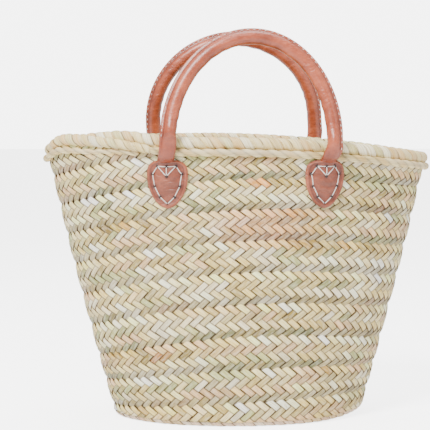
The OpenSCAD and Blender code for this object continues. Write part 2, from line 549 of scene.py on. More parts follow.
def make_group(
    name: str, inputs: Sequence[tuple[str, str]], outputs: Sequence[tuple[str, str]]
) -> tuple[bpy.types.NodeTree, Nodes, bpy.types.Node, bpy.types.Node]:
    """Starts a shader node group with named sockets.

    Args:
        name: the group's name.
        inputs: pairs of socket name and socket type.
        outputs: pairs of socket name and socket type.

    Returns:
        The group, a helper for its nodes, and its input and output nodes.
    """
    tree = bpy.data.node_groups.new(name, "ShaderNodeTree")
    for label, kind in inputs:
        tree.interface.new_socket(name=label, in_out="INPUT", socket_type=kind)
    for label, kind in outputs:
        tree.interface.new_socket(name=label, in_out="OUTPUT", socket_type=kind)
    nodes = Nodes(tree)
    return tree, nodes, nodes.add("NodeGroupInput"), nodes.add("NodeGroupOutput")


def leaf_fibre_group() -> bpy.types.NodeTree:
    """Builds the fibre pattern of a dried palm leaf, with painted shade along each leaf's tips and sides.

    Returns:
        A group that takes the leaf's own coordinates, its seed and its colour, and puts out the
        streaked colour, a roughness and a height.
    """
    sockets = [("Leaf", "NodeSocketVector"), ("Seed", "NodeSocketFloat"), ("Colour", "NodeSocketColor"),
               ("Streaks", "NodeSocketFloat"), ("Edges", "NodeSocketFloat")]
    results = [("Colour", "NodeSocketColor"), ("Roughness", "NodeSocketFloat"), ("Height", "NodeSocketFloat")]
    tree, nodes, given, result = make_group("leaf_fibre", sockets, results)
    offset = nodes.add("ShaderNodeCombineXYZ")
    nodes.feed(offset.inputs[0], nodes.math("MULTIPLY", given.outputs["Seed"], 37.0))
    nodes.feed(offset.inputs[1], nodes.math("MULTIPLY", given.outputs["Seed"], 91.0))
    nodes.feed(offset.inputs[2], given.outputs["Seed"])
    own = nodes.add("ShaderNodeVectorMath", operation="ADD")
    nodes.feed(own.inputs[0], given.outputs["Leaf"])
    nodes.feed(own.inputs[1], offset.outputs[0])
    fibres = nodes.noise(nodes.scaled(own.outputs[0], (1.6, 26, 1)), 1.0, 4, 0.6)
    blotches = nodes.noise(nodes.scaled(own.outputs[0], (2.2, 2.6, 1)), 1.0, 2)
    folds = nodes.noise(nodes.scaled(own.outputs[0], (0.35, 7, 1)), 1.0, 1)
    parts = nodes.add("ShaderNodeSeparateXYZ")
    nodes.link(given.outputs["Leaf"], parts.inputs[0])
    from_middle = [nodes.math("ABSOLUTE", nodes.math("MULTIPLY_ADD", part, 2.0, -1.0))
                   for part in parts.outputs[:2]]
    # Painted shade along the leaf's tips and sides, where it meets the leaves beside it; Edges sets how
    # strong it is.
    tip = nodes.spread(from_middle[0], 0.80, 1.0)
    side = nodes.spread(from_middle[1], 0.70, 1.0)
    edge = nodes.math("MULTIPLY", nodes.math("MAXIMUM", tip, side), given.outputs["Edges"])
    dark = nodes.spread(fibres, 0.34, 0.54, 1, 0)
    fold = nodes.spread(nodes.math("ABSOLUTE", nodes.math("SUBTRACT", folds, 0.5)), 0.0, 0.05, 0.75, 0)
    dark = nodes.math("MULTIPLY", nodes.math("MAXIMUM", dark, fold), given.outputs["Streaks"])
    light = nodes.spread(blotches, 0.42, 0.68)
    shaded = nodes.mix(dark, given.outputs["Colour"], (0.42, 0.30, 0.13), "MULTIPLY")
    shaded = nodes.mix(nodes.math("MULTIPLY", light, 0.25), shaded, linear(246, 240, 218))
    edge_shaded = nodes.mix(edge, shaded, (0.16, 0.10, 0.04), "MULTIPLY")
    height = nodes.math("MULTIPLY_ADD", fibres, 0.55, nodes.math("MULTIPLY", folds, 0.9))
    height = nodes.math("SUBTRACT", height, nodes.math("MULTIPLY", edge, 0.5))
    nodes.link(edge_shaded, result.inputs["Colour"])
    nodes.link(nodes.spread(fibres, 0.3, 0.7, 0.62, 0.42), result.inputs["Roughness"])
    nodes.link(height, result.inputs["Height"])
    return tree


def leather_grain_group() -> bpy.types.NodeTree:
    """Builds the pebble grain and the creases of soft leather.

    Returns:
        A group that takes coordinates and puts out a tone from dark to light, a roughness and a height.
    """
    sockets = [("Vector", "NodeSocketVector"), ("Creases", "NodeSocketFloat")]
    results = [("Tone", "NodeSocketFloat"), ("Roughness", "NodeSocketFloat"), ("Height", "NodeSocketFloat")]
    tree, nodes, given, result = make_group("leather_grain", sockets, results)
    cells = nodes.add("ShaderNodeTexVoronoi", feature="SMOOTH_F1")
    nodes.link(given.outputs["Vector"], cells.inputs["Vector"])
    nodes.preset(cells, Scale=900, Smoothness=0.6)
    fine = nodes.noise(given.outputs["Vector"], 420, 3)
    cloud = nodes.noise(given.outputs["Vector"], 45, 3)
    bent = nodes.add("ShaderNodeVectorMath", operation="ADD")
    nodes.link(given.outputs["Vector"], bent.inputs[0])
    sway = nodes.add("ShaderNodeCombineXYZ")
    nodes.feed(sway.inputs[2], nodes.math("MULTIPLY", nodes.noise(given.outputs["Vector"], 60, 1), 0.012))
    nodes.link(sway.outputs[0], bent.inputs[1])
    crease = nodes.noise(nodes.scaled(bent.outputs[0], (0.28, 0.28, 1)), 190, 2)
    crease = nodes.math("MULTIPLY", nodes.spread(crease, 0.40, 0.60), given.outputs["Creases"])
    height = nodes.math("MULTIPLY_ADD", cells.outputs["Distance"], 0.3, nodes.math("MULTIPLY", fine, 0.25))
    height = nodes.math("ADD", height, crease)
    tone = nodes.math("MULTIPLY_ADD", cloud, 0.8, nodes.math("MULTIPLY", fine, 0.25))
    nodes.link(nodes.math("MULTIPLY_ADD", crease, 0.12, tone), result.inputs["Tone"])
    nodes.link(nodes.spread(cloud, 0.3, 0.7, 0.34, 0.5), result.inputs["Roughness"])
    nodes.link(height, result.inputs["Height"])
    return tree


def new_material(name: str) -> tuple[bpy.types.Material, Nodes, bpy.types.Node]:
    """Starts a material with an empty Principled shader.

    Args:
        name: the material's name.

    Returns:
        The material, a helper for its nodes, and its Principled shader.
    """
    material = bpy.data.materials.new(name)
    material.use_nodes = True
    nodes = Nodes(material.node_tree)
    return material, nodes, material.node_tree.nodes["Principled BSDF"]


def bump(nodes: Nodes, shader: bpy.types.Node, height: bpy.types.NodeSocket, depth: float) -> None:
    """Gives a shader relief.

    Args:
        nodes: the material's nodes.
        shader: its Principled shader.
        height: the pattern of the relief.
        depth: its depth in metres.
    """
    relief = nodes.add("ShaderNodeBump")
    nodes.preset(relief, Strength=1, Distance=depth)
    nodes.link(height, relief.inputs["Height"])
    nodes.link(relief.outputs[0], shader.inputs["Normal"])


@dataclass(frozen=True)
class PalmLeaf:
    """Dried palm leaf: each strand's own colour, streaked along its fibres, with painted shade along its
    edges.
    """

    name: str = "palm_leaf"
    streaks: float = 0.8
    # How strongly shade is painted along the leaves' edges.
    edges: float = 1.1
    relief: float = 0.4 * MM
    sheen: float = 0.08

    def material(self, fibre: bpy.types.NodeTree) -> bpy.types.Material:
        """Builds the material.

        Args:
            fibre: the shared fibre group.

        Returns:
            The material.
        """
        material, nodes, shader = new_material(self.name)
        leaf = nodes.add("ShaderNodeUVMap", uv_map="leaf")
        tint = nodes.add("ShaderNodeAttribute", attribute_name="tint")
        seed = nodes.add("ShaderNodeAttribute", attribute_name="seed")
        group = nodes.add("ShaderNodeGroup", node_tree=fibre)
        nodes.link(leaf.outputs[0], group.inputs["Leaf"])
        nodes.link(seed.outputs["Fac"], group.inputs["Seed"])
        nodes.link(tint.outputs["Color"], group.inputs["Colour"])
        nodes.preset(group, Streaks=self.streaks, Edges=self.edges)
        nodes.link(group.outputs["Colour"], shader.inputs["Base Color"])
        nodes.link(group.outputs["Roughness"], shader.inputs["Roughness"])
        nodes.preset(shader, Sheen_Weight=self.sheen)
        bump(nodes, shader, group.outputs["Height"], self.relief)
        return material


@dataclass(frozen=True)
class Leather:
    """Soft tan leather with a half gloss, multiplied darker where a piece paints its shade attribute."""

    name: str
    dark: Colour
    mid: Colour
    light: Colour
    creases: float = 0.4
    relief: float = 0.6 * MM
    coat: float = 0.15
    coat_roughness: float = 0.33
    # The colour multiplied in where a piece paints shade or darkens its leather.
    shade_and_darkening: Colour = (0.30, 0.16, 0.12)

    def material(self, grain: bpy.types.NodeTree) -> bpy.types.Material:
        """Builds the material.

        Args:
            grain: the shared grain group.

        Returns:
            The material.
        """
        material, nodes, shader = new_material(self.name)
        where = nodes.add("ShaderNodeTexCoord")
        group = nodes.add("ShaderNodeGroup", node_tree=grain)
        nodes.link(where.outputs["Object"], group.inputs["Vector"])
        nodes.preset(group, Creases=self.creases)
        ramp = nodes.add("ShaderNodeValToRGB")
        stops = ramp.color_ramp.elements
        stops[0].position, stops[0].color = 0.32, (*self.dark, 1)
        stops[1].position, stops[1].color = 0.78, (*self.light, 1)
        middle = stops.new(0.54)
        middle.color = (*self.mid, 1)
        nodes.link(group.outputs["Tone"], ramp.inputs[0])
        # Multiplies in the painted shade and darkening that the pieces store in their shade attribute.
        shade_and_darkening_mask = nodes.add("ShaderNodeAttribute", attribute_name="shade")
        colour = nodes.mix(shade_and_darkening_mask.outputs["Fac"], ramp.outputs[0], self.shade_and_darkening, "MULTIPLY")
        nodes.link(colour, shader.inputs["Base Color"])
        nodes.link(group.outputs["Roughness"], shader.inputs["Roughness"])
        nodes.preset(shader, Coat_Weight=self.coat, Coat_Roughness=self.coat_roughness)
        bump(nodes, shader, group.outputs["Height"], self.relief)
        return material


@dataclass(frozen=True)
class Thread:
    """Waxed thread, with the twist of its plies."""

    name: str = "waxed_thread"
    colour: Colour = linear(238, 228, 220)
    shade: Colour = linear(196, 178, 166)
    plies: float = 420
    relief: float = 0.12 * MM

    def material(self) -> bpy.types.Material:
        """Builds the material.

        Returns:
            The material.
        """
        material, nodes, shader = new_material(self.name)
        where = nodes.add("ShaderNodeTexCoord")
        plies = nodes.add("ShaderNodeTexWave", wave_type="BANDS", bands_direction="DIAGONAL")
        nodes.link(where.outputs["Object"], plies.inputs["Vector"])
        nodes.preset(plies, Scale=self.plies, Distortion=1.5)
        colour = nodes.mix(plies.outputs["Fac"], self.shade, self.colour)
        nodes.link(colour, shader.inputs["Base Color"])
        nodes.link(nodes.spread(plies.outputs["Fac"], 0, 1, 0.62, 0.5), shader.inputs["Roughness"])
        bump(nodes, shader, plies.outputs["Fac"], self.relief)
        return material


@dataclass
class Finishes:
    """All of the basket's materials."""

    leaf: bpy.types.Material = field(init=False)
    handle: bpy.types.Material = field(init=False)
    patch: bpy.types.Material = field(init=False)
    thread: bpy.types.Material = field(init=False)
    cord: bpy.types.Material = field(init=False)
    hole: bpy.types.Material = field(init=False)

    def __post_init__(self) -> None:
        """Builds the shared groups once, and each material round them."""
        fibre = leaf_fibre_group()
        grain = leather_grain_group()
        self.leaf = PalmLeaf().material(fibre)
        self.handle = Leather("handle_leather", linear(120, 46, 20), linear(156, 68, 35), linear(186, 92, 55),
                              creases=0.6, coat=0.55).material(grain)
        self.patch = Leather("patch_leather", linear(108, 48, 26), linear(142, 70, 43), linear(172, 94, 64),
                             creases=1.0, coat=0.25).material(grain)
        self.thread = Thread().material()
        # The dark sheet behind the plait: painted shade for the gaps between the leaves.
        self.cord = self.gap_shade_finish()
        # Near-black leather for the discs in the stitch holes, painted shade inside the holes.
        self.hole = Leather("hole_leather", linear(34, 22, 18), linear(48, 30, 24), linear(66, 42, 34),
                            creases=0.2, coat=0).material(grain)

    @staticmethod
    def gap_shade_finish() -> bpy.types.Material:
        """Builds the dark finish of the sheet behind the plait, painted shade that shows in the gaps between
        the leaves.

        Returns:
            The material.
        """
        material, nodes, shader = new_material("palm_cord")
        where = nodes.add("ShaderNodeTexCoord")
        fibres = nodes.noise(nodes.scaled(where.outputs["Object"], (1, 1, 3)), 260, 4)
        colour = nodes.mix(fibres, linear(52, 40, 22), linear(104, 84, 50))
        nodes.link(colour, shader.inputs["Base Color"])
        nodes.link(nodes.spread(fibres, 0.3, 0.7, 0.6, 0.8), shader.inputs["Roughness"])
        bump(nodes, shader, fibres, 0.3 * MM)
        return material


def dress(piece: bpy.types.Object, material: bpy.types.Material) -> None:
    """Gives a piece its material."""
    piece.data.materials.append(material)


def settle(
    piece: bpy.types.Object, material: bpy.types.Material, slot: str, body: str, *nodes: str
) -> bpy.types.Object:
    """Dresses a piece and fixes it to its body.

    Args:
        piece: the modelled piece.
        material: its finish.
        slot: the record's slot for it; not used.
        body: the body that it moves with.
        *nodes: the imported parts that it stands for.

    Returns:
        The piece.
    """
    dress(piece, material)
    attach(piece, body)
    if nodes:
        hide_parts(*nodes)
    return piece


# ---------------------------------------------------------------- plaited pieces


def cluster_noise(rng: np.random.Generator, rows: int, columns: int, blur: int) -> Array:
    """Makes smooth random numbers that join up along the columns, from 0 to 1.

    Args:
        rng: the seeded random numbers.
        rows: how many rows.
        columns: how many columns.
        blur: how many columns one cluster covers.

    Returns:
        The numbers, with rows and columns as asked.
    """
    knots = max(3, columns // blur)
    rough = rng.random((rows, knots + 1))
    rough[:, -1] = rough[:, 0]
    where = np.linspace(0, knots, columns, endpoint=False)
    return np.array([np.interp(where, np.arange(knots + 1), row) for row in rough])


@dataclass(frozen=True)
class LeafColours:
    """The strand colours of the dried palm leaf, and how much painted light and shade each row of the plait
    gets, darkest for the row in the groove at the seam.
    """

    straw: Colour = linear(204, 180, 104)
    cream: Colour = linear(222, 204, 140)
    sand: Colour = linear(212, 174, 124)
    white: Colour = linear(242, 232, 200)
    green: Colour = linear(166, 168, 106)
    pink: Colour = linear(206, 122, 78)
    olive: Colour = linear(148, 126, 50)
    orange: Colour = linear(198, 134, 58)
    blue: Colour = linear(188, 202, 188)
    # Painted light and shade for the four rows of each turn, from the row in the lower groove upwards.
    row_light: tuple[float, ...] = (0.64, 1.26, 0.98, 1.46)

    def pick(self, mood: Array, chance: Array) -> Array:
        """Chooses a colour for each strand.

        Args:
            mood: from 0 to 1, the cluster a strand is in.
            chance: from 0 to 1, the strand's own luck.

        Returns:
            One row of three linear colour parts a strand.
        """
        named = np.array([self.orange, self.olive, self.straw, self.sand, self.cream, self.straw, self.cream,
                          self.white, self.cream, self.green, self.straw, self.green, self.blue])
        value = np.clip(0.84 * mood + 0.16 * chance, 0, 0.999) * (len(named) - 1)
        low = value.astype(int)
        part = ease(value - low)[:, None]
        return named[low] * (1 - part) + named[low + 1] * part


@dataclass
class Plait:
    """One braid of leaf strands, drawn flat: X counts strands along it and Y its rows."""

    rows: int = 4
    columns: int = 80
    depth: float = 5 * MM
    leaf_depth: float = 0.7 * MM
    dome: float = 1.15 * MM
    both_faces: bool = True
    lap: float = 0.16
    end_lap: float = 0.06
    side_gap: float = 0.03
    sunk: float = 0.35 * MM
    tilt: float = 0.10
    slip: float = 0.025
    warm_place: tuple[float, float, float] = (0.018, -0.11, 0.216)
    warm_size: tuple[float, float, float] = (0.055, 0.03, 0.019)
    warm_share: float = 0.55
    cluster: int = 6
    unevenness: float = 0.14
    seed: int = 1
    colours: LeafColours = LeafColours()

    def leaf(self) -> bpy.types.Mesh:
        """Makes one strand's visible float: a small domed leaf with a thickness.

        Returns:
            The leaf, about one unit square.
        """
        bm = bmesh.new()
        bmesh.ops.create_grid(bm, x_segments=5, y_segments=3, size=0.5)
        bmesh.ops.translate(bm, verts=bm.verts, vec=(0.5, 0.5, 0))
        leaf_map = bm.loops.layers.uv.new("leaf")
        for face in bm.faces:
            for loop in face.loops:
                loop[leaf_map].uv = loop.vert.co.xy
        bmesh.ops.solidify(bm, geom=bm.faces[:], thickness=self.leaf_depth)
        for vert in bm.verts:
            along, across, height = vert.co
            rise = self.dome * (1 - abs(2 * along - 1) ** 3.5) - 0.3 * self.dome * abs(2 * across - 1) ** 2.5
            long = (1 + 2 * self.end_lap) * along - self.end_lap
            wide = (1 - 2 * self.side_gap) * across + self.side_gap
            vert.co = (long, wide, height - self.sunk + rise)
        mesh = bpy.data.meshes.new("one_leaf")
        bm.to_mesh(mesh)
        bm.free()
        return mesh

    @staticmethod
    def lean(row: int) -> Lean:
        """Returns which way a row's leaves lean."""
        return Lean.RISING if row % 2 == 0 else Lean.FALLING

    def column(self) -> bpy.types.Mesh:
        """Makes one column of leaves: one for each row, outside and inside.

        Returns:
            The column, one unit wide and as high as there are rows.
        """
        single = self.leaf()
        bm = bmesh.new()
        for face in range(2 if self.both_faces else 1):
            for row in range(self.rows):
                start = len(bm.verts)
                bm.from_mesh(single)
                bm.verts.ensure_lookup_table()
                new = bm.verts[start:]
                rising = self.lean(row) is Lean.RISING
                along = Vector((1, 1 if rising else -1, 0))
                across = Vector((0.5, -0.5 if rising else 0.5, 0))
                skew = Matrix((along, across, (0, 0, 1))).transposed()
                origin = Vector((0.5, row + 0.25, 0)) if rising else Vector((0, row + 0.75, 0))
                bmesh.ops.transform(bm, matrix=Matrix.Translation(origin) @ skew.to_4x4(), verts=new)
                if face:
                    bmesh.ops.scale(bm, vec=(1, 1, -1), verts=new)
                    bmesh.ops.translate(bm, vec=(0, 0, -self.depth), verts=new)
        mesh = bpy.data.meshes.new("one_column")
        bm.to_mesh(mesh)
        bm.free()
        bpy.data.meshes.remove(single)
        return mesh

    def build(self, name: str, lay: Callable[[Array, Array, Array], tuple[Array, Array]]) -> bpy.types.Object:
        """Plaits the braid and lays it in place.

        Args:
            name: the piece's name.
            lay: takes the share of the way along, the share of the way across and the distance out,
                and returns the places and a mask of the vertices that may stay.

        Returns:
            The finished piece, with its strand colours stored on it.
        """
        column = self.column()
        one = len(column.vertices)
        piece = repeated(name, column, self.columns)
        flat = places(piece.data)
        index = np.arange(len(flat)) // one
        leaf = np.arange(len(flat)) // (one // (self.rows * (2 if self.both_faces else 1)))
        rng = np.random.default_rng(self.seed)
        count = int(leaf[-1]) + 1
        tilt = rng.normal(0, self.tilt, count)[leaf] * MM
        shift = rng.normal(0, self.slip, count)[leaf]
        x = flat[:, 0] + index + shift
        across = 0.5 + (flat[:, 1] - self.rows / 2) / (self.rows - self.lap)
        spots, keep = lay(x / self.columns, across, flat[:, 2] + tilt)
        self.tint(piece.data, leaf, spots, rng)
        piece.data.vertices.foreach_set("co", spots.ravel())
        self.trim(piece, leaf, keep)
        smooth(piece, 50)
        return piece

    def tint(self, mesh: bpy.types.Mesh, leaf: Array, spots: Array, rng: np.random.Generator) -> None:
        """Stores each leaf's colour, with its row's painted light and shade, and its seed.

        Args:
            mesh: the flat braid.
            leaf: each vertex's leaf number.
            spots: each vertex's place on the basket.
            rng: the seeded random numbers.
        """
        count = int(leaf[-1]) + 1
        per_column = count // self.columns
        number = np.arange(count)
        column = number // per_column
        row = (number % per_column) % self.rows
        strand = (column + np.where(row % 2 == 0, -row, row)) % self.columns
        strand_luck = rng.random((2, self.columns))[row % 2, strand]
        mood = cluster_noise(rng, self.rows, self.columns, self.cluster)[row, strand]
        colour = self.colours.pick(mood, strand_luck)
        # Each row's painted light and shade, times a random unevenness of tone.
        light = np.array(self.colours.row_light)[row % 4] * rng.normal(1, self.unevenness, count)
        middle = spots.reshape(count, -1, 3).mean(axis=1)
        from_warm = (middle - self.warm_place) / self.warm_size
        warm = self.warm_share * np.exp(-(from_warm**4).sum(axis=1))[:, None]
        colour = (colour * (1 - warm) + np.array(self.colours.pink) * warm) * light[:, None]
        paint(mesh, "tint", np.clip(colour, 0, 1)[leaf])
        paint(mesh, "seed", rng.random(count)[leaf])

    @staticmethod
    def trim(piece: bpy.types.Object, leaf: Array, keep: Array) -> None:
        """Takes away the leaves that lie wholly outside the wall.

        Args:
            piece: the laid braid.
            leaf: each vertex's leaf number.
            keep: true for the vertices that may stay.
        """
        stays = np.bincount(leaf, weights=keep) > 0
        if stays.all():
            return
        gone = np.flatnonzero(~stays[leaf])

        def cut(bm: bmesh.types.BMesh) -> None:
            """Takes the leaves' vertices away."""
            bm.verts.ensure_lookup_table()
            bmesh.ops.delete(bm, geom=[bm.verts[int(i)] for i in gone], context="VERTS")

        rework(piece.data, cut)


@dataclass
class Wall:
    """The ten turns of braid that climb from the foot to the rim."""

    finishes: Finishes
    turns: int = 10
    strand_pitch: float = 11.1 * MM
    foot_top: float = 5.5 * MM
    rim_hide: float = 1 * MM
    groove: float = 1.3 * MM
    swell: float = 1.5 * MM
    inner_share: float = 0.4
    high_share: float = 0.4
    low_groove: float = 0.20
    high_groove: float = 0.14
    margin: float = 0.5 * MM
    # Where the dark sheet of painted gap shade lies, how thick it is and how far below the rim it stops.
    shade_sheet_in: float = 1.6 * MM
    shade_sheet_depth: float = 1.4 * MM
    shade_sheet_top: float = 3 * MM

    def lay(self, turn: int, angles: Array) -> Callable[[Array, Array, Array], tuple[Array, Array]]:
        """Returns the way to lay one flat turn on the wall.

        Args:
            turn: the turn's number.
            angles: the angles at equal distances along the turn.

        Returns:
            A function from along, across and out to places and a mask.
        """

        def place(along: Array, across: Array, out: Array) -> tuple[Array, Array]:
            """Lays vertices of the flat braid.

            Args:
                along: the share of the way along the turn.
                across: the share of the way up it.
                out: the distance out of the wall.

            Returns:
                Their places, and a mask of those between the foot and the rim.
            """
            here = along * (len(angles) - 1)
            t = np.interp(here, np.arange(len(angles)), angles)
            t += np.maximum(here - len(angles) + 1, 0) * (angles[-1] - angles[-2])
            z = SHAPE.strip(turn, across, t)
            low = SHAPE.ground(t) + self.foot_top
            high = SHAPE.rim(t) - self.rim_hide
            keep = (z > low + self.margin) & (z < high - self.margin)
            z = np.clip(z, low, high)
            upper = ease((across - (1 - self.high_groove)) / self.high_groove)
            under = ease((self.low_groove - across) / self.low_groove) + self.high_share * upper
            full = self.swell * (1 - np.clip(2 * np.abs(across - 0.5), 0, 1) ** 2) - self.groove * under
            inside = out < -SHAPE.wall / 2
            return SHAPE.place(t, z, np.where(inside, out - self.inner_share * full, out + full)), keep

        return place

    def turn(self, number: int) -> bpy.types.Object:
        """Plaits one turn and lays it on the wall.

        Args:
            number: the turn's number, from 1 at the foot.

        Returns:
            The turn.
        """
        angles, length = SHAPE.even_angles(number)
        columns = round(length / self.strand_pitch)
        plait = Plait(columns=columns, seed=100 + number)
        return plait.build(f"plaited_turn_{number}", self.lay(number, angles))

    def backing(self) -> bpy.types.Object:
        """Makes a dark sheet between the outer and the inner leaves, painted shade that shows in the gaps of
        the plait.

        Returns:
            The layer.
        """
        piece = flat_sheet("hidden_strands", 144, 30)

        def bend(flat: Array) -> Array:
            """Wraps the flat layer round the wall.

            Args:
                flat: places on the flat layer.

            Returns:
                The places on the basket.
            """
            t = flat[:, 0] * TAU
            low = SHAPE.ground(t) + self.foot_top
            z = low + (SHAPE.rim(t) - self.shade_sheet_top - low) * flat[:, 1]
            return SHAPE.place(t, z, -self.shade_sheet_in - flat[:, 2])

        rework(piece.data, lambda bm: bmesh.ops.solidify(bm, geom=bm.faces[:], thickness=self.shade_sheet_depth))
        low = places(piece.data)[:, 2].min()
        reshape(piece.data, lambda flat: bend(flat - (0, 0, low)))
        weld(piece)
        return piece

    def build(self) -> list[bpy.types.Object]:
        """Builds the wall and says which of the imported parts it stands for.

        Returns:
            The wall's pieces.
        """
        leaf = self.finishes.leaf
        made = [settle(self.turn(number), leaf, "palm_braid", "basket", f"wall_turn_{number}")
                for number in range(1, self.turns + 1)]
        # The dark sheet of painted gap shade takes the lacing cord's place.
        backing = settle(self.backing(), self.finishes.cord, "palm_cord", "basket", "lacing_cord")
        smooth(backing)
        return [*made, backing]


@dataclass
class Base:
    """The flat bottom: two oval turns of braid round a folded middle strip."""

    finishes: Finishes
    inset: float = 6.5 * MM
    turn_width: float = 36 * MM
    top: float = 4.3 * MM
    depth: float = 3.1 * MM
    strand_pitch: float = 11.1 * MM

    def place(self, t: Array, inset: Array, z: Array) -> Array:
        """Returns places on the oval floor.

        Args:
            t: the angles round the oval.
            inset: the distances in from the foot.
            z: the heights above a flat floor.

        Returns:
            One row for each place.
        """
        x = (SHAPE.base_length / 2 - inset) * np.cos(t)
        y = (SHAPE.base_depth / 2 - inset) * np.sin(t)
        lift = SHAPE.ground(t) * np.clip(1 - 2 * inset / SHAPE.base_depth, 0, 1) ** 2
        return np.stack([x, y, z + lift], axis=-1)

    def ring(self, name: str, outer: float, inner: float, rows: int, seed: int) -> bpy.types.Object:
        """Plaits one ring of the floor.

        Args:
            name: the piece's name.
            outer: the distance in from the foot of its outer edge.
            inner: the distance in of its inner edge.
            rows: the plait's rows.
            seed: the seed of its colours.

        Returns:
            The finished piece.
        """
        t = np.linspace(0, TAU, 721)
        line = self.place(t, (outer + inner) / 2 + 0 * t, 0 * t)
        run = run_along(line)
        columns = max(12, round(run[-1] / self.strand_pitch))

        def lay(along: Array, across: Array, out: Array) -> tuple[Array, Array]:
            """Lays vertices of the flat braid on the ring.

            Args:
                along: the share of the way along the ring.
                across: the share of the way in over it.
                out: the distance above its middle.

            Returns:
                Their places, and a mask that keeps them all.
            """
            angle = np.interp(along % 1 * run[-1], run, t)
            inset = np.clip(outer + (inner - outer) * across, 0, SHAPE.base_depth / 2)
            return self.place(angle, inset, self.top + out), np.ones(len(along), bool)

        return Plait(rows=rows, columns=columns, depth=self.depth, seed=seed).build(name, lay)

    def build(self) -> list[bpy.types.Object]:
        """Builds the floor's three rings of braid.

        Returns:
            The floor's pieces.
        """
        half = SHAPE.base_depth / 2
        outer = self.inset
        second = outer + self.turn_width
        third = second + self.turn_width
        rings = (("plaited_floor_2", outer, second, 4, "base_turn_2"),
                 ("plaited_floor_1", second, third, 4, "base_turn_1"),
                 ("plaited_floor_middle", third, half, 2, "base_centre_braid"))
        leaf = self.finishes.leaf
        return [settle(self.ring(name, start, end, rows, 300 + seed), leaf, "palm_braid", "basket", node)
                for seed, (name, start, end, rows, node) in enumerate(rings)]


# ---------------------------------------------------------------- wrapped rolls


@dataclass
class Roll:
    """A round bundle that follows the wall's edge, in its own arc-length coordinates."""

    angles: Array
    out: Array
    height: Array
    radius: Array

    def centre(self) -> Array:
        """Returns the points of the middle of the bundle."""
        return SHAPE.place(self.angles, self.height, self.out)

    def run(self) -> Array:
        """Returns the distance along the bundle at each point."""
        return run_along(self.centre())

    def place(self, along: Array, round_it: Array, proud: Array) -> Array:
        """Returns places on the bundle's surface.

        Args:
            along: the distance along the bundle.
            round_it: the angle round it, from the top, outwards and down.
            proud: how far the place stands out of the bundle's surface.

        Returns:
            The places.
        """
        run = self.run()
        centre = self.centre()
        middle = rows_at(along, run, centre)
        forward = unit(rows_at(along + 2 * MM, run, centre) - rows_at(along - 2 * MM, run, centre))
        up = np.broadcast_to((0.0, 0.0, 1.0), forward.shape)
        outward = unit(np.cross(forward, up))
        top = np.cross(outward, forward)
        size = (np.interp(along, run, self.radius) + proud)[:, None]
        return middle + size * (top * np.cos(round_it)[:, None] + outward * np.sin(round_it)[:, None])


@dataclass
class Wrapping:
    """Leaf strips wound slantwise round a roll, each lapping over the next."""

    pitch: float = 10.5 * MM
    lap: float = 0.06
    slant: float = 2.1
    closed: bool = False
    crown: float = 1.3 * MM
    sunk: float = 0.55 * MM
    step: float = 0.45 * MM
    wander: float = 0.05
    unevenness: float = 0.12 * MM
    first_angle: float = 0.6
    brightness: float = 1.08
    leaf_colours: tuple[Colour, ...] = (linear(230, 210, 148), linear(222, 198, 132), linear(246, 236, 200),
                                        linear(214, 202, 140), linear(222, 188, 124))

    def strip(self) -> bpy.types.Mesh:
        """Makes one flat strip: X across it, and Y once round the roll.

        Returns:
            The strip, one unit square.
        """
        sheet = flat_sheet("one_strip", 5, 18)
        mesh = sheet.data
        bpy.data.objects.remove(sheet)
        return mesh

    def build(self, name: str, roll: Roll, seed: int) -> bpy.types.Object:
        """Winds the strips round a roll.

        Args:
            name: the piece's name.
            roll: the bundle to wrap.
            seed: the seed of the strips' colours.

        Returns:
            The finished wrapping.
        """
        length = float(roll.run()[-1])
        count = max(2, round(length / self.pitch))
        pitch = length / count
        strip = self.strip()
        one = len(strip.vertices)
        piece = repeated(name, strip, count)
        flat = places(piece.data)
        index = np.arange(len(flat)) // one
        rng = np.random.default_rng(seed)
        across = -self.lap + (1 + 2 * self.lap) * flat[:, 0]
        turn = flat[:, 1]
        wobble = rng.normal(0, self.wander, count)[index]
        along = (index + across + self.slant * (turn - 0.5) + wobble) * pitch
        along = along % length if self.closed else np.clip(along, 0, length)
        edge = np.abs(2 * flat[:, 0] - 1)
        proud = self.crown * (1 - edge**2.6) - self.sunk + self.step * flat[:, 0]
        proud += rng.normal(0, self.unevenness, count)[index]
        around = (turn - 0.5) * TAU + self.first_angle
        piece.data.vertices.foreach_set("co", roll.place(along, around, proud).ravel())
        palette = np.array(self.leaf_colours)
        colour = palette[rng.integers(0, len(palette), count)]
        colour = colour * rng.normal(self.brightness, 0.05, count)[:, None]
        paint(piece.data, "tint", np.clip(colour, 0, 1)[index])
        paint(piece.data, "seed", rng.random(count)[index])
        for item in piece.data.uv_layers["leaf"].data:
            item.uv = (0.15 + 0.7 * item.uv[1], item.uv[0])
        rework(piece.data, lambda bm: bmesh.ops.recalc_face_normals(bm, faces=bm.faces))
        piece.data.shade_smooth()
        return piece


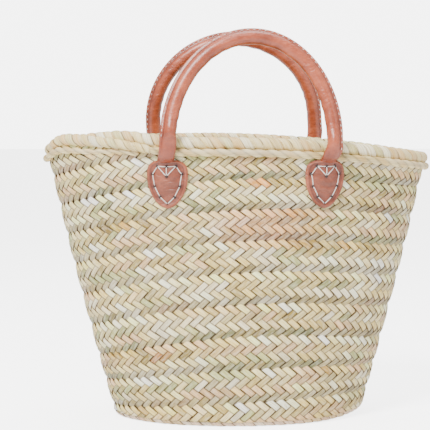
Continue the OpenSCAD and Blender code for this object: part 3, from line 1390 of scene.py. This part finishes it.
@dataclass(frozen=True)
class Twist:
    """A cord of two plies twisted along a roll, with painted shade in the creases between them."""

    half_turn: float
    step: float = 2.4 * MM
    faces_round: int = 16
    lobe: float = 2.1 * MM
    lobe_middle: float = 0.75
    taper: float = 3 * MM
    light_ply: Colour = linear(234, 216, 158)
    dark_ply: Colour = linear(216, 186, 118)
    clouds: int = 60
    unevenness: float = 0.08
    # How much shade is painted into the creases between the plies.
    crease: float = 0.65
    leaf_length: float = 110 * MM

    def build(self, name: str, roll: Roll, seed: int) -> bpy.types.Object:
        """Twists the cord.

        Args:
            name: the piece's name.
            roll: the cord's path and radius.
            seed: the seed of its colours.

        Returns:
            The finished cord.
        """
        length = float(roll.run()[-1])
        piece = flat_sheet(name, round(length / self.step), self.faces_round)
        flat = places(piece.data)
        along = flat[:, 0] * length
        angle = flat[:, 1] * TAU
        phase = angle - math.pi * along / self.half_turn
        lobe = np.abs(np.cos(phase)) ** 0.7
        shut = np.clip(np.minimum(along, length - along) / self.taper, 0, 1) ** 0.5
        radius = np.interp(along, roll.run(), roll.radius)
        proud = self.lobe * (lobe - self.lobe_middle)
        spots = roll.place(along, angle, (radius + proud) * shut - radius)
        piece.data.vertices.foreach_set("co", spots.ravel())
        cloud = np.random.default_rng(seed).normal(1, self.unevenness, self.clouds)
        cloud = np.interp(along, np.linspace(0, length, self.clouds), cloud)[:, None]
        share = (0.5 + 0.5 * np.cos(phase))[:, None]
        # Painted shade in the creases between the two plies.
        crease = (1 - self.crease + self.crease * np.clip(lobe * 1.5, 0, 1))[:, None]
        tint = np.array(self.light_ply) * share + np.array(self.dark_ply) * (1 - share)
        paint(piece.data, "tint", np.clip(tint * cloud * crease, 0, 1))
        paint(piece.data, "seed", np.full(len(flat), 0.37))
        for item in piece.data.uv_layers["leaf"].data:
            fold = abs(item.uv[0] * length / self.leaf_length % 2 - 1)
            item.uv = (0.2 + 0.6 * fold, 0.2 + 0.6 * item.uv[1])
        weld(piece, 0.05 * MM)
        piece.data.shade_smooth()
        return piece


@dataclass
class Rim:
    """The wrapped roll on the wall's edge, its run down into the lower cord, and the foot's roll."""

    finishes: Finishes
    radius: float = 6.0 * MM
    lower_radius: float = 3.8 * MM
    start: float = 214
    dip_start: float = 561
    dip_end: float = 602
    last: float = 958
    lower_out: float = 4.0 * MM
    lower_drop: float = 9.6 * MM
    last_drop: float = 6.5 * MM
    middle: float = -2.5 * MM
    foot_radius: float = 4.3 * MM
    foot_out: float = -3.6 * MM
    foot_clear: float = 0.7 * MM
    tuck_angle: float = 26
    tuck_in: float = 1.5 * MM
    tuck_thin: float = 1.2 * MM
    end_from: float = 915
    end_over: float = 30
    end_in: float = 3 * MM

    def path(self, start: float, end: float, drop_from: float, drop_to: float) -> Roll:
        """Returns a stretch of the rim's one long bundle.

        Args:
            start: its first angle in degrees.
            end: its last angle in degrees.
            drop_from: where it starts down to the lower cord's place, in degrees.
            drop_to: where it has got there, in degrees.

        Returns:
            The stretch.
        """
        degrees = np.linspace(start, end, round((end - start) * 1.5) + 1)
        t = np.radians(degrees)
        share = ease((degrees - drop_from) / (drop_to - drop_from))
        under = ease((degrees - self.end_from) / self.end_over)
        height = SHAPE.rim(t) - share * self.lower_drop - under * self.last_drop
        out = self.middle + share * (self.lower_out - self.middle) - under * self.end_in
        radius = self.radius + share * (self.lower_radius - self.radius) - under * self.tuck_thin
        tuck = ease((self.start + self.tuck_angle - degrees) / self.tuck_angle)
        inwards = self.tuck_in * tuck
        return Roll(t, out - inwards, height - inwards, radius - self.tuck_thin * tuck)

    def foot(self) -> Roll:
        """Returns the foot's roll.

        Returns:
            The roll, once round the basket.
        """
        t = np.linspace(0, TAU, 361)
        height = SHAPE.ground(t) + self.foot_radius + self.foot_clear
        return Roll(t, np.full(len(t), self.foot_out), height, np.full(len(t), self.foot_radius))

    def build(self) -> list[bpy.types.Object]:
        """Builds the rim and the foot.

        Returns:
            The rolls.
        """
        roll = self.path(self.start, self.dip_end, self.dip_start, self.dip_end)
        under = self.path(self.dip_end - 2, self.last, self.dip_start, self.dip_end)
        upper = Wrapping().build("wrapped_rim", roll, 11)
        lower = Twist(13.5 * MM).build("rim_under_cord", under, 12)
        core = Twist(30 * MM).build("rim_filling", roll, 13)
        pinkish = (linear(232, 204, 176), linear(222, 188, 156), linear(238, 220, 196), linear(218, 190, 140))
        foot_wrap = Wrapping(pitch=11 * MM, crown=0.7 * MM, closed=True, leaf_colours=pinkish)
        foot = foot_wrap.build("wrapped_foot", self.foot(), 14)
        made = ((upper, "palm_wrap", "rim_wrap"), (lower, "palm_cord", "rim_cord"),
                (core, "palm_cord", "rim_core"), (foot, "palm_wrap", "foot_cord"))
        return [settle(piece, self.finishes.leaf, slot, "basket", node) for piece, slot, node in made]


# ---------------------------------------------------------------- leather


def tube(points: Array, radius: float, sides: int = 8) -> bmesh.types.BMesh:
    """Makes a round thread along some points, pinched shut at both ends.

    Args:
        points: the points that it follows.
        radius: its radius.
        sides: faces round it.

    Returns:
        The thread's mesh.
    """
    count = len(points)
    bm = bmesh.new()
    bmesh.ops.create_grid(bm, x_segments=count - 1, y_segments=sides, size=0.5)
    forward = unit(np.gradient(points, axis=0))
    side = unit(np.cross(forward, (0.31, 0.23, 0.92)))
    other = np.cross(forward, side)
    for vert in bm.verts:
        here = round((vert.co.x + 0.5) * (count - 1))
        angle = (vert.co.y + 0.5) * TAU
        size = radius * (0 if here in (0, count - 1) else 1)
        vert.co = points[here] + size * (math.cos(angle) * side[here] + math.sin(angle) * other[here])
    bmesh.ops.remove_doubles(bm, verts=bm.verts, dist=0.002 * MM)
    bmesh.ops.recalc_face_normals(bm, faces=bm.faces)
    return bm


def joined(name: str, parts: Sequence[bmesh.types.BMesh]) -> bpy.types.Object:
    """Joins several meshes into one smoothly shaded piece.

    Args:
        name: the piece's name.
        parts: the meshes, which are freed.

    Returns:
        The piece.
    """
    whole = bmesh.new()
    for part in parts:
        mesh = bpy.data.meshes.new("part")
        part.to_mesh(mesh)
        part.free()
        whole.from_mesh(mesh)
        bpy.data.meshes.remove(mesh)
    piece = finished(name, whole)
    piece.data.shade_smooth()
    return piece


@dataclass
class Path:
    """The middle line of a handle, with its cross-section at each point."""

    centre: Array
    wide: Array
    half_width: Array
    half_depth: Array
    fin: Array


@dataclass
class Patch:
    """One shield-shaped leather patch, sewn down over the end of a handle."""

    finishes: Finishes
    face: Face
    side: Side
    half_width: float = 22 * MM
    top: float = 25.5 * MM
    bottom: float = -26 * MM
    widest: float = 8 * MM
    level: float = 262 * MM
    span: float = 166 * MM
    lift: float = 4.4 * MM
    over_strap: float = 3.4 * MM
    thickness: float = 1.6 * MM
    curve: float = 323 * MM
    holes: tuple[tuple[float, float], ...] = ((-9.8, 19), (0, 18.6), (9.8, 19), (15.6, 10.5), (13.4, -2.4),
                                              (7.8, -13.6), (0, -21.2), (-7.8, -13.6), (-13.4, -2.4),
                                              (-15.6, 10.5), (0, 8.6))
    threads: tuple[tuple[int, int], ...] = ((0, 10), (1, 10), (2, 10), (0, 1), (1, 2), (0, 9), (2, 3), (3, 4),
                                            (4, 5), (5, 6), (6, 7), (7, 8), (8, 9))
    thread_radius: float = 0.55 * MM
    hole_radius: float = 1.75 * MM
    dent: float = 1.0 * MM
    crumple: float = 0.7 * MM
    bead: float = 0.9 * MM
    turned_edge: float = 1.1 * MM
    corner: float = 0.42
    top_round: float = 0.62
    low_round: float = 0.52
    bead_at: float = 0.90
    turned_at: float = 0.93
    edge_width: float = 0.07
    # A darker middle, painted shade inside the bead and round each hole, and how far the holes' shade
    # reaches.
    middle_darkening: float = 0.35
    bead_shade: float = 0.45
    hole_shade: float = 0.7
    hole_shade_round: float = 2.4 * MM

    @property
    def name(self) -> str:
        """The patch's place: its long side of the basket, and its side as seen from there."""
        return f"{self.face.name.lower()}_{self.side.name.lower()}"

    def wall_frame(self, z: float, out: float) -> tuple[Vector, Vector, Vector, Vector]:
        """Returns a place on the wall at this patch and the wall's directions there.

        Args:
            z: the height.
            out: the distance out of the wall.

        Returns:
            The place, and the directions along the wall, up it and out of it.
        """
        half = float(SHAPE.half_length(np.array(self.level)))
        t = -math.acos(self.side.value * self.span / 2 / half)
        x = float(SHAPE.half_length(np.array(z))) * math.cos(t)
        y = float(SHAPE.half_depth(np.array(z))) * math.sin(t)
        normal = Vector(SHAPE.outward(np.array(t), np.array(z)))
        slope = math.atan(SHAPE.side_slope)
        along = Vector((-normal.y, normal.x, 0))
        outward = (normal * math.cos(slope) - Vector((0, 0, 1)) * math.sin(slope)).normalized()
        up = outward.cross(along)
        place = Vector((x, y, z)) + normal * out
        turned = Matrix.Rotation(math.pi if self.face is Face.BACK else 0, 3, "Z")
        return turned @ place, turned @ along, turned @ up, turned @ outward

    def height(self, x: Array, y: Array) -> Array:
        """Returns the shape of the leather over the strap's end, with its creases and its dents.

        Args:
            x: the distances along the wall from the patch's middle.
            y: the distances up it.

        Returns:
            How far the top of the leather stands out of the wall.
        """
        strap = np.exp(-((np.abs(x) / (11.5 * MM)) ** 4)) * ease((y + 18 * MM) / (26 * MM))
        rise = self.lift + self.over_strap * strap
        fold = np.sin(y * 820 - x * 230 + 2.0 * np.sin(x * 260)) * np.sin(x * 130 + y * 90 + 1.3)
        rise += self.crumple * fold * np.exp(-((np.hypot(x, y) / (15 * MM)) ** 4))
        for hole_x, hole_y in self.holes:
            away = np.hypot(x - hole_x * MM, y - hole_y * MM)
            rise -= self.dent * np.exp(-((away / (2.1 * MM)) ** 2))
        return rise - x**2 / (2 * self.curve)

    def lay(self, x: Array, y: Array, rise: Array) -> Array:
        """Turns places on the flat patch into places on the wall."""
        origin, along, up, outward = (np.array(v) for v in self.wall_frame(self.level, 0))
        return origin + x[:, None] * along + y[:, None] * up + rise[:, None] * outward

    def shield(self) -> bpy.types.Object:
        """Cuts the patch out of leather and drapes it.

        Returns:
            The shield.
        """
        piece = flat_sheet(f"{self.name}_leather_patch", 44, 56)
        flat = places(piece.data)
        up = flat[:, 1]
        level = self.corner
        angle = np.clip((up - level) / (1 - level), 0, 1) * math.pi / 2
        low = np.clip((level - up) / level, 0, 1)
        y_top = self.widest + (self.top - self.widest) * np.sin(angle) ** self.top_round
        y_low = self.widest + (self.bottom - self.widest) * low
        wide_top = np.maximum(np.cos(angle), 0) ** self.top_round
        wide_low = np.cos(low * math.pi / 2 * 0.999) ** self.low_round
        wide = self.half_width * np.where(up > level, wide_top, wide_low)
        y = np.where(up > level, y_top, y_low)
        across = np.sin((flat[:, 0] - 0.5) * math.pi)
        x = wide * across
        side_edge = np.abs(across)
        end_edge = np.where(up > level, (y - self.widest) / (self.top - self.widest), low)
        edge = (side_edge**6 + end_edge**6) ** (1 / 6)
        rise = self.height(x, y) + self.bead * np.exp(-(((edge - self.bead_at) / self.edge_width) ** 2))
        rise -= self.turned_edge * ease((edge - self.turned_at) / self.edge_width)
        piece.data.vertices.foreach_set("co", np.stack([x, y, rise], axis=-1).ravel())
        # A darker middle, with painted shade in the groove inside the bead and round the stitch holes.
        shade_and_darkening = self.middle_darkening * ease((0.86 - edge) / 0.06)
        shade_and_darkening += self.bead_shade * np.exp(-(((edge - 0.83) / 0.05) ** 2))
        away = [((x - a * MM) ** 2 + (y - b * MM) ** 2) / self.hole_shade_round**2 for a, b in self.holes]
        shade_and_darkening += self.hole_shade * np.exp(-np.min(away, axis=0))
        paint(piece.data, "shade", np.clip(shade_and_darkening, 0, 1))

        def thicken(bm: bmesh.types.BMesh) -> None:
            """Closes the shield's ends, turns its face outwards and gives it its thickness.

            Args:
                bm: the flat shield.
            """
            bmesh.ops.remove_doubles(bm, verts=bm.verts, dist=0.05 * MM)
            bmesh.ops.recalc_face_normals(bm, faces=bm.faces)
            middle = min(bm.faces, key=lambda face: face.calc_center_median().xy.length)
            if middle.normal.z < 0:
                bmesh.ops.reverse_faces(bm, faces=bm.faces)
            bmesh.ops.solidify(bm, geom=bm.faces[:], thickness=self.thickness)

        rework(piece.data, thicken)
        reshape(piece.data, lambda rows: self.lay(rows[:, 0], rows[:, 1], rows[:, 2]))
        smooth(piece, 60)
        return piece

    def thread(self, first: int, second: int) -> bmesh.types.BMesh:
        """Makes one stitch between two holes.

        Args:
            first: the number of the hole that it comes out of.
            second: the number of the hole that it goes into.

        Returns:
            The stitch's mesh.
        """
        start = np.array(self.holes[first]) * MM
        end = np.array(self.holes[second]) * MM
        share = np.linspace(0, 1, 12)
        line = start + (end - start) * share[:, None]
        rise = self.height(line[:, 0], line[:, 1])
        rise = np.maximum(rise, rise[[0, -1]].mean() + self.bead * (1 - np.abs(2 * share - 1) ** 4))
        rise += 0.3 * MM - 1.0 * MM * np.abs(2 * share - 1) ** 6
        return tube(self.lay(line[:, 0], line[:, 1], rise), self.thread_radius)

    def hole(self, x: float, y: float) -> bmesh.types.BMesh:
        """Makes a dark flattened disc in the dimple that a stitch goes through: painted shade inside the
        punched hole.

        Args:
            x: its distance along the wall from the patch's middle, in millimetres.
            y: its distance up the wall, in millimetres.

        Returns:
            The dimple's mesh.
        """
        bm = bmesh.new()
        bmesh.ops.create_uvsphere(bm, u_segments=10, v_segments=6, radius=self.hole_radius)
        where = np.array([[x * MM, y * MM]])
        spot = self.lay(where[:, 0], where[:, 1], self.height(where[:, 0], where[:, 1]) + 0.45 * MM)[0]
        _, along, up, outward = self.wall_frame(self.level, 0)
        turned = Matrix((along, up, outward)).transposed().to_4x4()
        squeezed = Matrix.Diagonal((1, 1.15, 0.32, 1))
        bmesh.ops.transform(bm, matrix=Matrix.Translation(Vector(spot)) @ turned @ squeezed, verts=bm.verts)
        return bm

    def build(self) -> list[bpy.types.Object]:
        """Builds the patch, its threads and its holes.

        Returns:
            The three pieces.
        """
        leather = self.shield()
        thread = joined(f"{self.name}_patch_thread", [self.thread(a, b) for a, b in self.threads])
        holes = joined(f"{self.name}_patch_holes", [self.hole(*spot) for spot in self.holes])
        return [settle(leather, self.finishes.patch, "tan_leather", "basket", f"{self.name}_patch"),
                settle(thread, self.finishes.thread, "white_thread", "basket", f"{self.name}_stitching"),
                settle(holes, self.finishes.hole, "tan_leather", "basket")]


@dataclass
class Handle:
    """A leather handle: a sleeve folded round a rope, sewn along its outer edge, flat at its two ends."""

    finishes: Finishes
    face: Face
    span: float
    top: float
    tilt: float
    straightness: float = 1
    lean: float = math.radians(12)
    shift: float = 4 * MM
    sleeve: float = 7.25 * MM
    pivot_out: float = 112 * MM
    pivot_up: float = 290 * MM
    neck_up: float = 15 * MM
    neck_out: float = 4.5 * MM
    fin_width: float = 3.2 * MM
    stitch_pitch: float = 5.6 * MM
    stitch_radius: float = 0.42 * MM
    stitch_long: float = 3.4
    pucker: float = 0.26 * MM
    dimple: float = 0.55 * MM
    crease: float = 0.25 * MM
    arch_step: int = 10
    faces_along: int = 300
    faces_round: int = 30
    edge_shares: tuple[float, ...] = (0, 0.012, 0.030, 0.045, 0.075)
    edge_angles: tuple[float, ...] = (0, 0.09, 0.135, 0.18, 0.36)
    ridge_angle: float = 0.17
    groove_angle: float = 0.30
    groove_width: float = 0.13
    inner_angle: float = 0.9
    wave: float = 9 * MM
    taper: float = 3 * MM
    # Painted shade in the grooves beside the sewn edge and in the puckers' valleys, and a darker flat strap
    # near the ends.
    groove_shade: float = 0.75
    crease_shade: float = 0.6
    strap_darkening: float = 0.42
    under_patch: tuple[tuple[float, float, float, float], ...] = (
        (-12, 3.1, 7.4, 0.9), (2, 3.2, 8.0, 1.1), (14, 3.6, 8.3, 1.4), (22, 5.4, 8.3, 2.0))

    @property
    def name(self) -> str:
        """The handle's name."""
        return f"{self.face.name.lower()}_handle"

    def frame(self) -> Matrix:
        """Returns where the handle's own upright drawing goes.

        Returns:
            The move from the drawing, with its neck at the origin, to the basket.
        """
        turned = Matrix.Rotation(math.pi if self.face is Face.BACK else 0, 4, "Z")
        shift = -self.face.value * self.shift
        neck = Vector((shift, -self.pivot_out - self.neck_out, self.pivot_up + self.neck_up))
        tilt = Matrix.Rotation(self.tilt, 4, "Y")
        return turned @ Matrix.Translation(neck) @ tilt @ Matrix.Rotation(-self.lean, 4, "X")

    def leg(self, patch: Patch) -> list[tuple[Vector, Vector, float, float, float]]:
        """Returns one leg's stations, from under its patch up to the arch.

        Args:
            patch: the patch that holds it.

        Returns:
            For each station its place, the way its width runs, half its width, half its depth, and how
            much of the sewn edge stands out.
        """
        side = patch.side.value
        frame = self.frame()
        turn = frame.to_3x3()
        across = turn @ Vector((side, 0, 0))
        straight = self.straight()
        neck = frame @ Vector((side * self.span / 2, 0, 0))
        stations = []
        for up, out, width, depth in self.under_patch:
            place, along, _, _ = patch.wall_frame(patch.level + up * MM, out * MM)
            stations.append((place, along * side, width * MM, depth * MM, 0.0))
        wall_side = stations[-1][0]
        hinge = wall_side.lerp(neck, 0.42)
        hinge.y = self.face.value * self.pivot_out
        hinge.z = self.pivot_up + 1 * MM
        stations.append((hinge, across, 8.2 * MM, 3.4 * MM, 0.35))
        stations.append((neck - (neck - hinge) * 0.12, across, 7.8 * MM, 5.2 * MM, 0.75))
        upright = ((4 * MM, 7.8, 6.4, 0.8), (10 * MM, 7.3, 7.1, 1), (straight * 0.6, 7.25, 7.2, 1))
        for up, width, depth, fin in upright:
            if up <= straight:
                place = frame @ Vector((side * self.span / 2, 0, up))
                stations.append((place, across, width * MM, depth * MM, fin))
        return stations

    def rise(self) -> float:
        """Returns how far the arch's middle line rises up the leaning plane."""
        return (self.top - self.pivot_up - self.neck_up - self.sleeve) / math.cos(self.lean)

    def straight(self) -> float:
        """Returns how long the straight part of each leg is."""
        return (self.rise() - self.span / 2) * self.straightness

    def path(self, left: Patch, right: Patch) -> Path:
        """Returns the handle's whole middle line, from its right end over the arch to its left end.

        Args:
            left: the patch at its left end.
            right: the patch at its right end.

        Returns:
            The path, evenly spaced.
        """
        frame = self.frame()
        straight = self.straight()
        tall = self.rise() - straight
        arch = []
        skipped = 0 if straight > 18 * MM else self.arch_step
        for degrees in range(skipped, 181 - skipped, self.arch_step):
            a = math.radians(degrees)
            wide = Vector((math.cos(a) / (self.span / 2), 0, math.sin(a) / tall)).normalized()
            middle = Vector((math.cos(a) * self.span / 2, 0, straight + math.sin(a) * tall))
            place = frame @ middle
            arch.append((place, frame.to_3x3() @ wide, self.sleeve, self.sleeve, 1.0))
        stations = [*self.leg(right), *arch, *reversed(self.leg(left))]
        rows = np.array([[*place, *wide, width, depth, fin] for place, wide, width, depth, fin in stations])
        chord = run_along(rows[:, :3])
        dense = np.linspace(0, chord[-1], 900)
        index = np.clip(np.searchsorted(chord, dense, side="right") - 1, 0, len(rows) - 2)
        slopes = np.gradient(rows, chord, axis=0)
        gap = (chord[index + 1] - chord[index])[:, None]
        s = ((dense - chord[index])[:, None]) / gap
        low, high = rows[index], rows[index + 1]
        fine = low * (2 * s**3 - 3 * s**2 + 1) + slopes[index] * gap * (s**3 - 2 * s**2 + s)
        fine += high * (3 * s**2 - 2 * s**3) + slopes[index + 1] * gap * (s**3 - s**2)
        return Path(fine[:, :3], unit(fine[:, 3:6]), fine[:, 6], fine[:, 7], np.clip(fine[:, 8], 0, 1))

    @staticmethod
    def frames(path: Path) -> tuple[Array, Array, Array]:
        """Measures a path.

        Args:
            path: the handle's middle line.

        Returns:
            The distance along it, and the wide and the deep direction of its cross-section.
        """
        run = run_along(path.centre)
        forward = unit(np.gradient(path.centre, axis=0))
        deep = unit(np.cross(forward, path.wide))
        return run, np.cross(deep, forward), deep

    def skin(self, path: Path) -> bpy.types.Object:
        """Folds the leather sleeve round the path.

        Args:
            path: the handle's middle line.

        Returns:
            The sleeve.
        """
        piece = flat_sheet(f"{self.name}_leather", self.faces_along, self.faces_round)
        flat = places(piece.data)
        run, wide, deep = self.frames(path)
        along = flat[:, 0] * run[-1]
        first, turn = np.array(self.edge_shares), np.array(self.edge_angles)
        last = (1 - first)[::-1]
        knots = np.concatenate([first, [0.5], last])
        angles = np.concatenate([turn, [math.pi], (TAU - turn)[::-1]])
        between = np.linspace(first[-1], last[0], self.faces_round - 2 * len(first) + 3)[1:-1]
        spread = np.concatenate([first, between, last])
        angle = np.interp(spread[np.round(flat[:, 1] * self.faces_round).astype(int)], knots, angles)
        from_fin = np.minimum(angle, TAU - angle)
        at = {key: np.interp(along, run, value) for key, value in
              (("width", path.half_width), ("depth", path.half_depth), ("fin", path.fin))}
        ridge = at["fin"] * self.fin_width * np.exp(-((from_fin / self.ridge_angle) ** 4))
        inner = np.exp(-(((math.pi - from_fin) / self.inner_angle) ** 2))
        wave = np.sin(along / self.wave * TAU / 1.9 + 2.6 * np.sin(along * 53)) * np.sin(along * 37 + 1)
        pucker = self.pucker * at["fin"] * inner * wave
        beside = np.exp(-(((from_fin - self.groove_angle) / self.groove_width) ** 2))
        dimple = self.dimple * at["fin"] * beside
        crease = self.crease * (1 - at["fin"]) * np.sin(angle * 5 + along * 160)
        from_end = np.minimum(along, run[-1] - along)
        shut = np.clip(from_end / self.taper, 0, 1) ** 0.5
        proud = ridge + pucker - dimple + crease
        half_wide = (at["width"] + proud) * shut
        half_deep = (at["depth"] + proud * np.clip(at["depth"] / at["width"], 0, 1)) * shut
        spots = rows_at(along, run, path.centre)
        spots += (half_wide * np.cos(angle))[:, None] * unit(rows_at(along, run, wide))
        spots += (half_deep * np.sin(angle))[:, None] * unit(rows_at(along, run, deep))
        piece.data.vertices.foreach_set("co", spots.ravel())
        # Painted shade in the grooves beside the sewn edge and in the valleys of the puckers, and a darker
        # strap where it lies flat near its ends.
        shade_and_darkening = at["fin"] * (self.groove_shade * beside + self.crease_shade * inner * np.clip(-wave, 0, 1))
        paint(piece.data, "shade", np.clip(shade_and_darkening + self.strap_darkening * (1 - at["fin"]), 0, 1))
        weld(piece, 0.03 * MM)
        smooth(piece, 60)
        return piece

    def stitches(self, path: Path) -> bpy.types.Object:
        """Sews the sleeve's edge: short stitches on both faces of it.

        Args:
            path: the handle's middle line.

        Returns:
            The stitches.
        """
        run, wide, deep = self.frames(path)
        sewn = path.fin > 0.95
        first, last = run[sewn][0], run[sewn][-1]
        parts = []
        count = round((last - first) / self.stitch_pitch)
        for spot in np.linspace(first, last, count):
            here = int(np.searchsorted(run, spot))
            forward = Vector(np.cross(wide[here], deep[here]))
            axes = Matrix((forward, Vector(wide[here]), Vector(deep[here]))).transposed().to_4x4()
            for face in (-1, 1):
                bm = bmesh.new()
                bmesh.ops.create_uvsphere(bm, u_segments=7, v_segments=5, radius=self.stitch_radius)
                out = wide[here] * (self.sleeve + 1.35 * MM) + deep[here] * face * 1.3 * MM
                place = Matrix.Translation(Vector(path.centre[here] + out))
                long = Matrix.Diagonal((self.stitch_long, 1, 1, 1))
                bmesh.ops.transform(bm, matrix=place @ axes @ long, verts=bm.verts)
                parts.append(bm)
        return joined(f"{self.name}_stitches", parts)

    def build(self) -> list[bpy.types.Object]:
        """Builds the handle and its two patches.

        Returns:
            All of their pieces.
        """
        left = Patch(self.finishes, self.face, Side.LEFT)
        right = Patch(self.finishes, self.face, Side.RIGHT)
        path = self.path(left, right)
        skin = self.skin(path)
        dress(skin, self.finishes.handle)
        self.name
        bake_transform(skin)
        ends = [f"{patch.name}_handle_end" for patch in (left, right)]
        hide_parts(f"{self.name}_sleeve", f"{self.name}_core", *ends)
        seam = f"{self.name}_seam"
        stitches = settle(self.stitches(path), self.finishes.thread, "white_thread", self.name, seam)
        return [skin, stitches, *left.build(), *right.build()]


# ---------------------------------------------------------------- room


@dataclass(frozen=True)
class Studio:
    """The pale floor, the soft lights and the camera."""

    camera_place: tuple[float, float, float] = (-0.139, -1.594, 0.310)
    aim: tuple[float, float, float] = (-0.0262, 0, 0.2235)
    lens: float = 118.5
    glow: float = 0.8
    backdrop: float = 6.0
    floor_glow: float = 4.0

    def floor(self) -> None:
        """Lays a pale flat floor, far wider than the view."""
        bm = bmesh.new()
        bmesh.ops.create_grid(bm, x_segments=2, y_segments=2, size=40)
        floor = finished("floor", bm)
        material, nodes, shader = new_material("pale_floor")
        where = nodes.add("ShaderNodeTexCoord")
        cloud = nodes.noise(where.outputs["Object"], 3, 2)
        nodes.link(nodes.mix(cloud, (0.90, 0.90, 0.90), (0.93, 0.93, 0.93)), shader.inputs["Base Color"])
        shader.inputs["Roughness"].default_value = 0.9
        shader.inputs["Emission Color"].default_value = (1, 1, 1, 1)
        seen = nodes.add("ShaderNodeLightPath").outputs["Is Camera Ray"]
        nodes.link(nodes.spread(seen, 0, 1, 0.1, self.floor_glow), shader.inputs["Emission Strength"])
        floor.data.materials.append(material)

    def light(self, name: str, place: tuple[float, float, float], size: float, power: float) -> None:
        """Hangs one soft square light, turned to the basket.

        Args:
            name: the light's name.
            place: where it hangs.
            size: its side.
            power: its power in watts.
        """
        lamp = bpy.data.lights.new(name, "AREA")
        lamp.size = size
        lamp.energy = power
        lamp_object = bpy.data.objects.new(name, lamp)
        lamp_object.location = place
        away = Vector(place) - Vector((0, 0, 0.2))
        lamp_object.rotation_euler = away.to_track_quat("Z", "Y").to_euler()
        bpy.context.scene.collection.objects.link(lamp_object)

    def build(self) -> None:
        """Sets up the floor, the lights, the room's glow and the camera."""
        self.floor()
        self.light("key_light", (-0.9, -1.5, 2.1), 0.7, 118)
        self.light("fill_light", (1.8, -1.2, 1.2), 1.4, 14)
        self.light("top_light", (0.2, 0.5, 2.2), 1.2, 30)
        world = bpy.data.worlds.new("room")
        bpy.context.scene.world = world
        world.use_nodes = True
        nodes = Nodes(world.node_tree)
        back = world.node_tree.nodes["Background"]
        back.inputs["Color"].default_value = (1, 1, 1, 1)
        seen = nodes.add("ShaderNodeLightPath").outputs["Is Camera Ray"]
        nodes.link(nodes.spread(seen, 0, 1, self.glow, self.backdrop), back.inputs["Strength"])
        camera = bpy.data.cameras.new("camera")
        camera.lens = self.lens
        camera.sensor_width = 36
        camera_object = bpy.data.objects.new("camera", camera)
        camera_object.location = self.camera_place
        toward = Vector(self.aim) - Vector(self.camera_place)
        camera_object.rotation_euler = toward.to_track_quat("-Z", "Y").to_euler()
        bpy.context.scene.collection.objects.link(camera_object)
        bpy.context.scene.camera = camera_object


def main() -> None:
    """Builds every piece in order."""
    logging.basicConfig(level=logging.INFO, format="%(message)s")
    Studio().build()
    finishes = Finishes()
    makers = (
        Wall(finishes),
        Base(finishes),
        Rim(finishes),
        Handle(finishes, Face.FRONT, 173 * MM, 424 * MM, math.radians(4), 0.1),
        Handle(finishes, Face.BACK, 192 * MM, 434 * MM, math.radians(5), shift=7 * MM),
    )
    for maker in makers:
        for piece in maker.build():
            LOG.info("%s: %d faces", piece.name, len(piece.data.polygons))


if __name__ == "__main__":
    main()
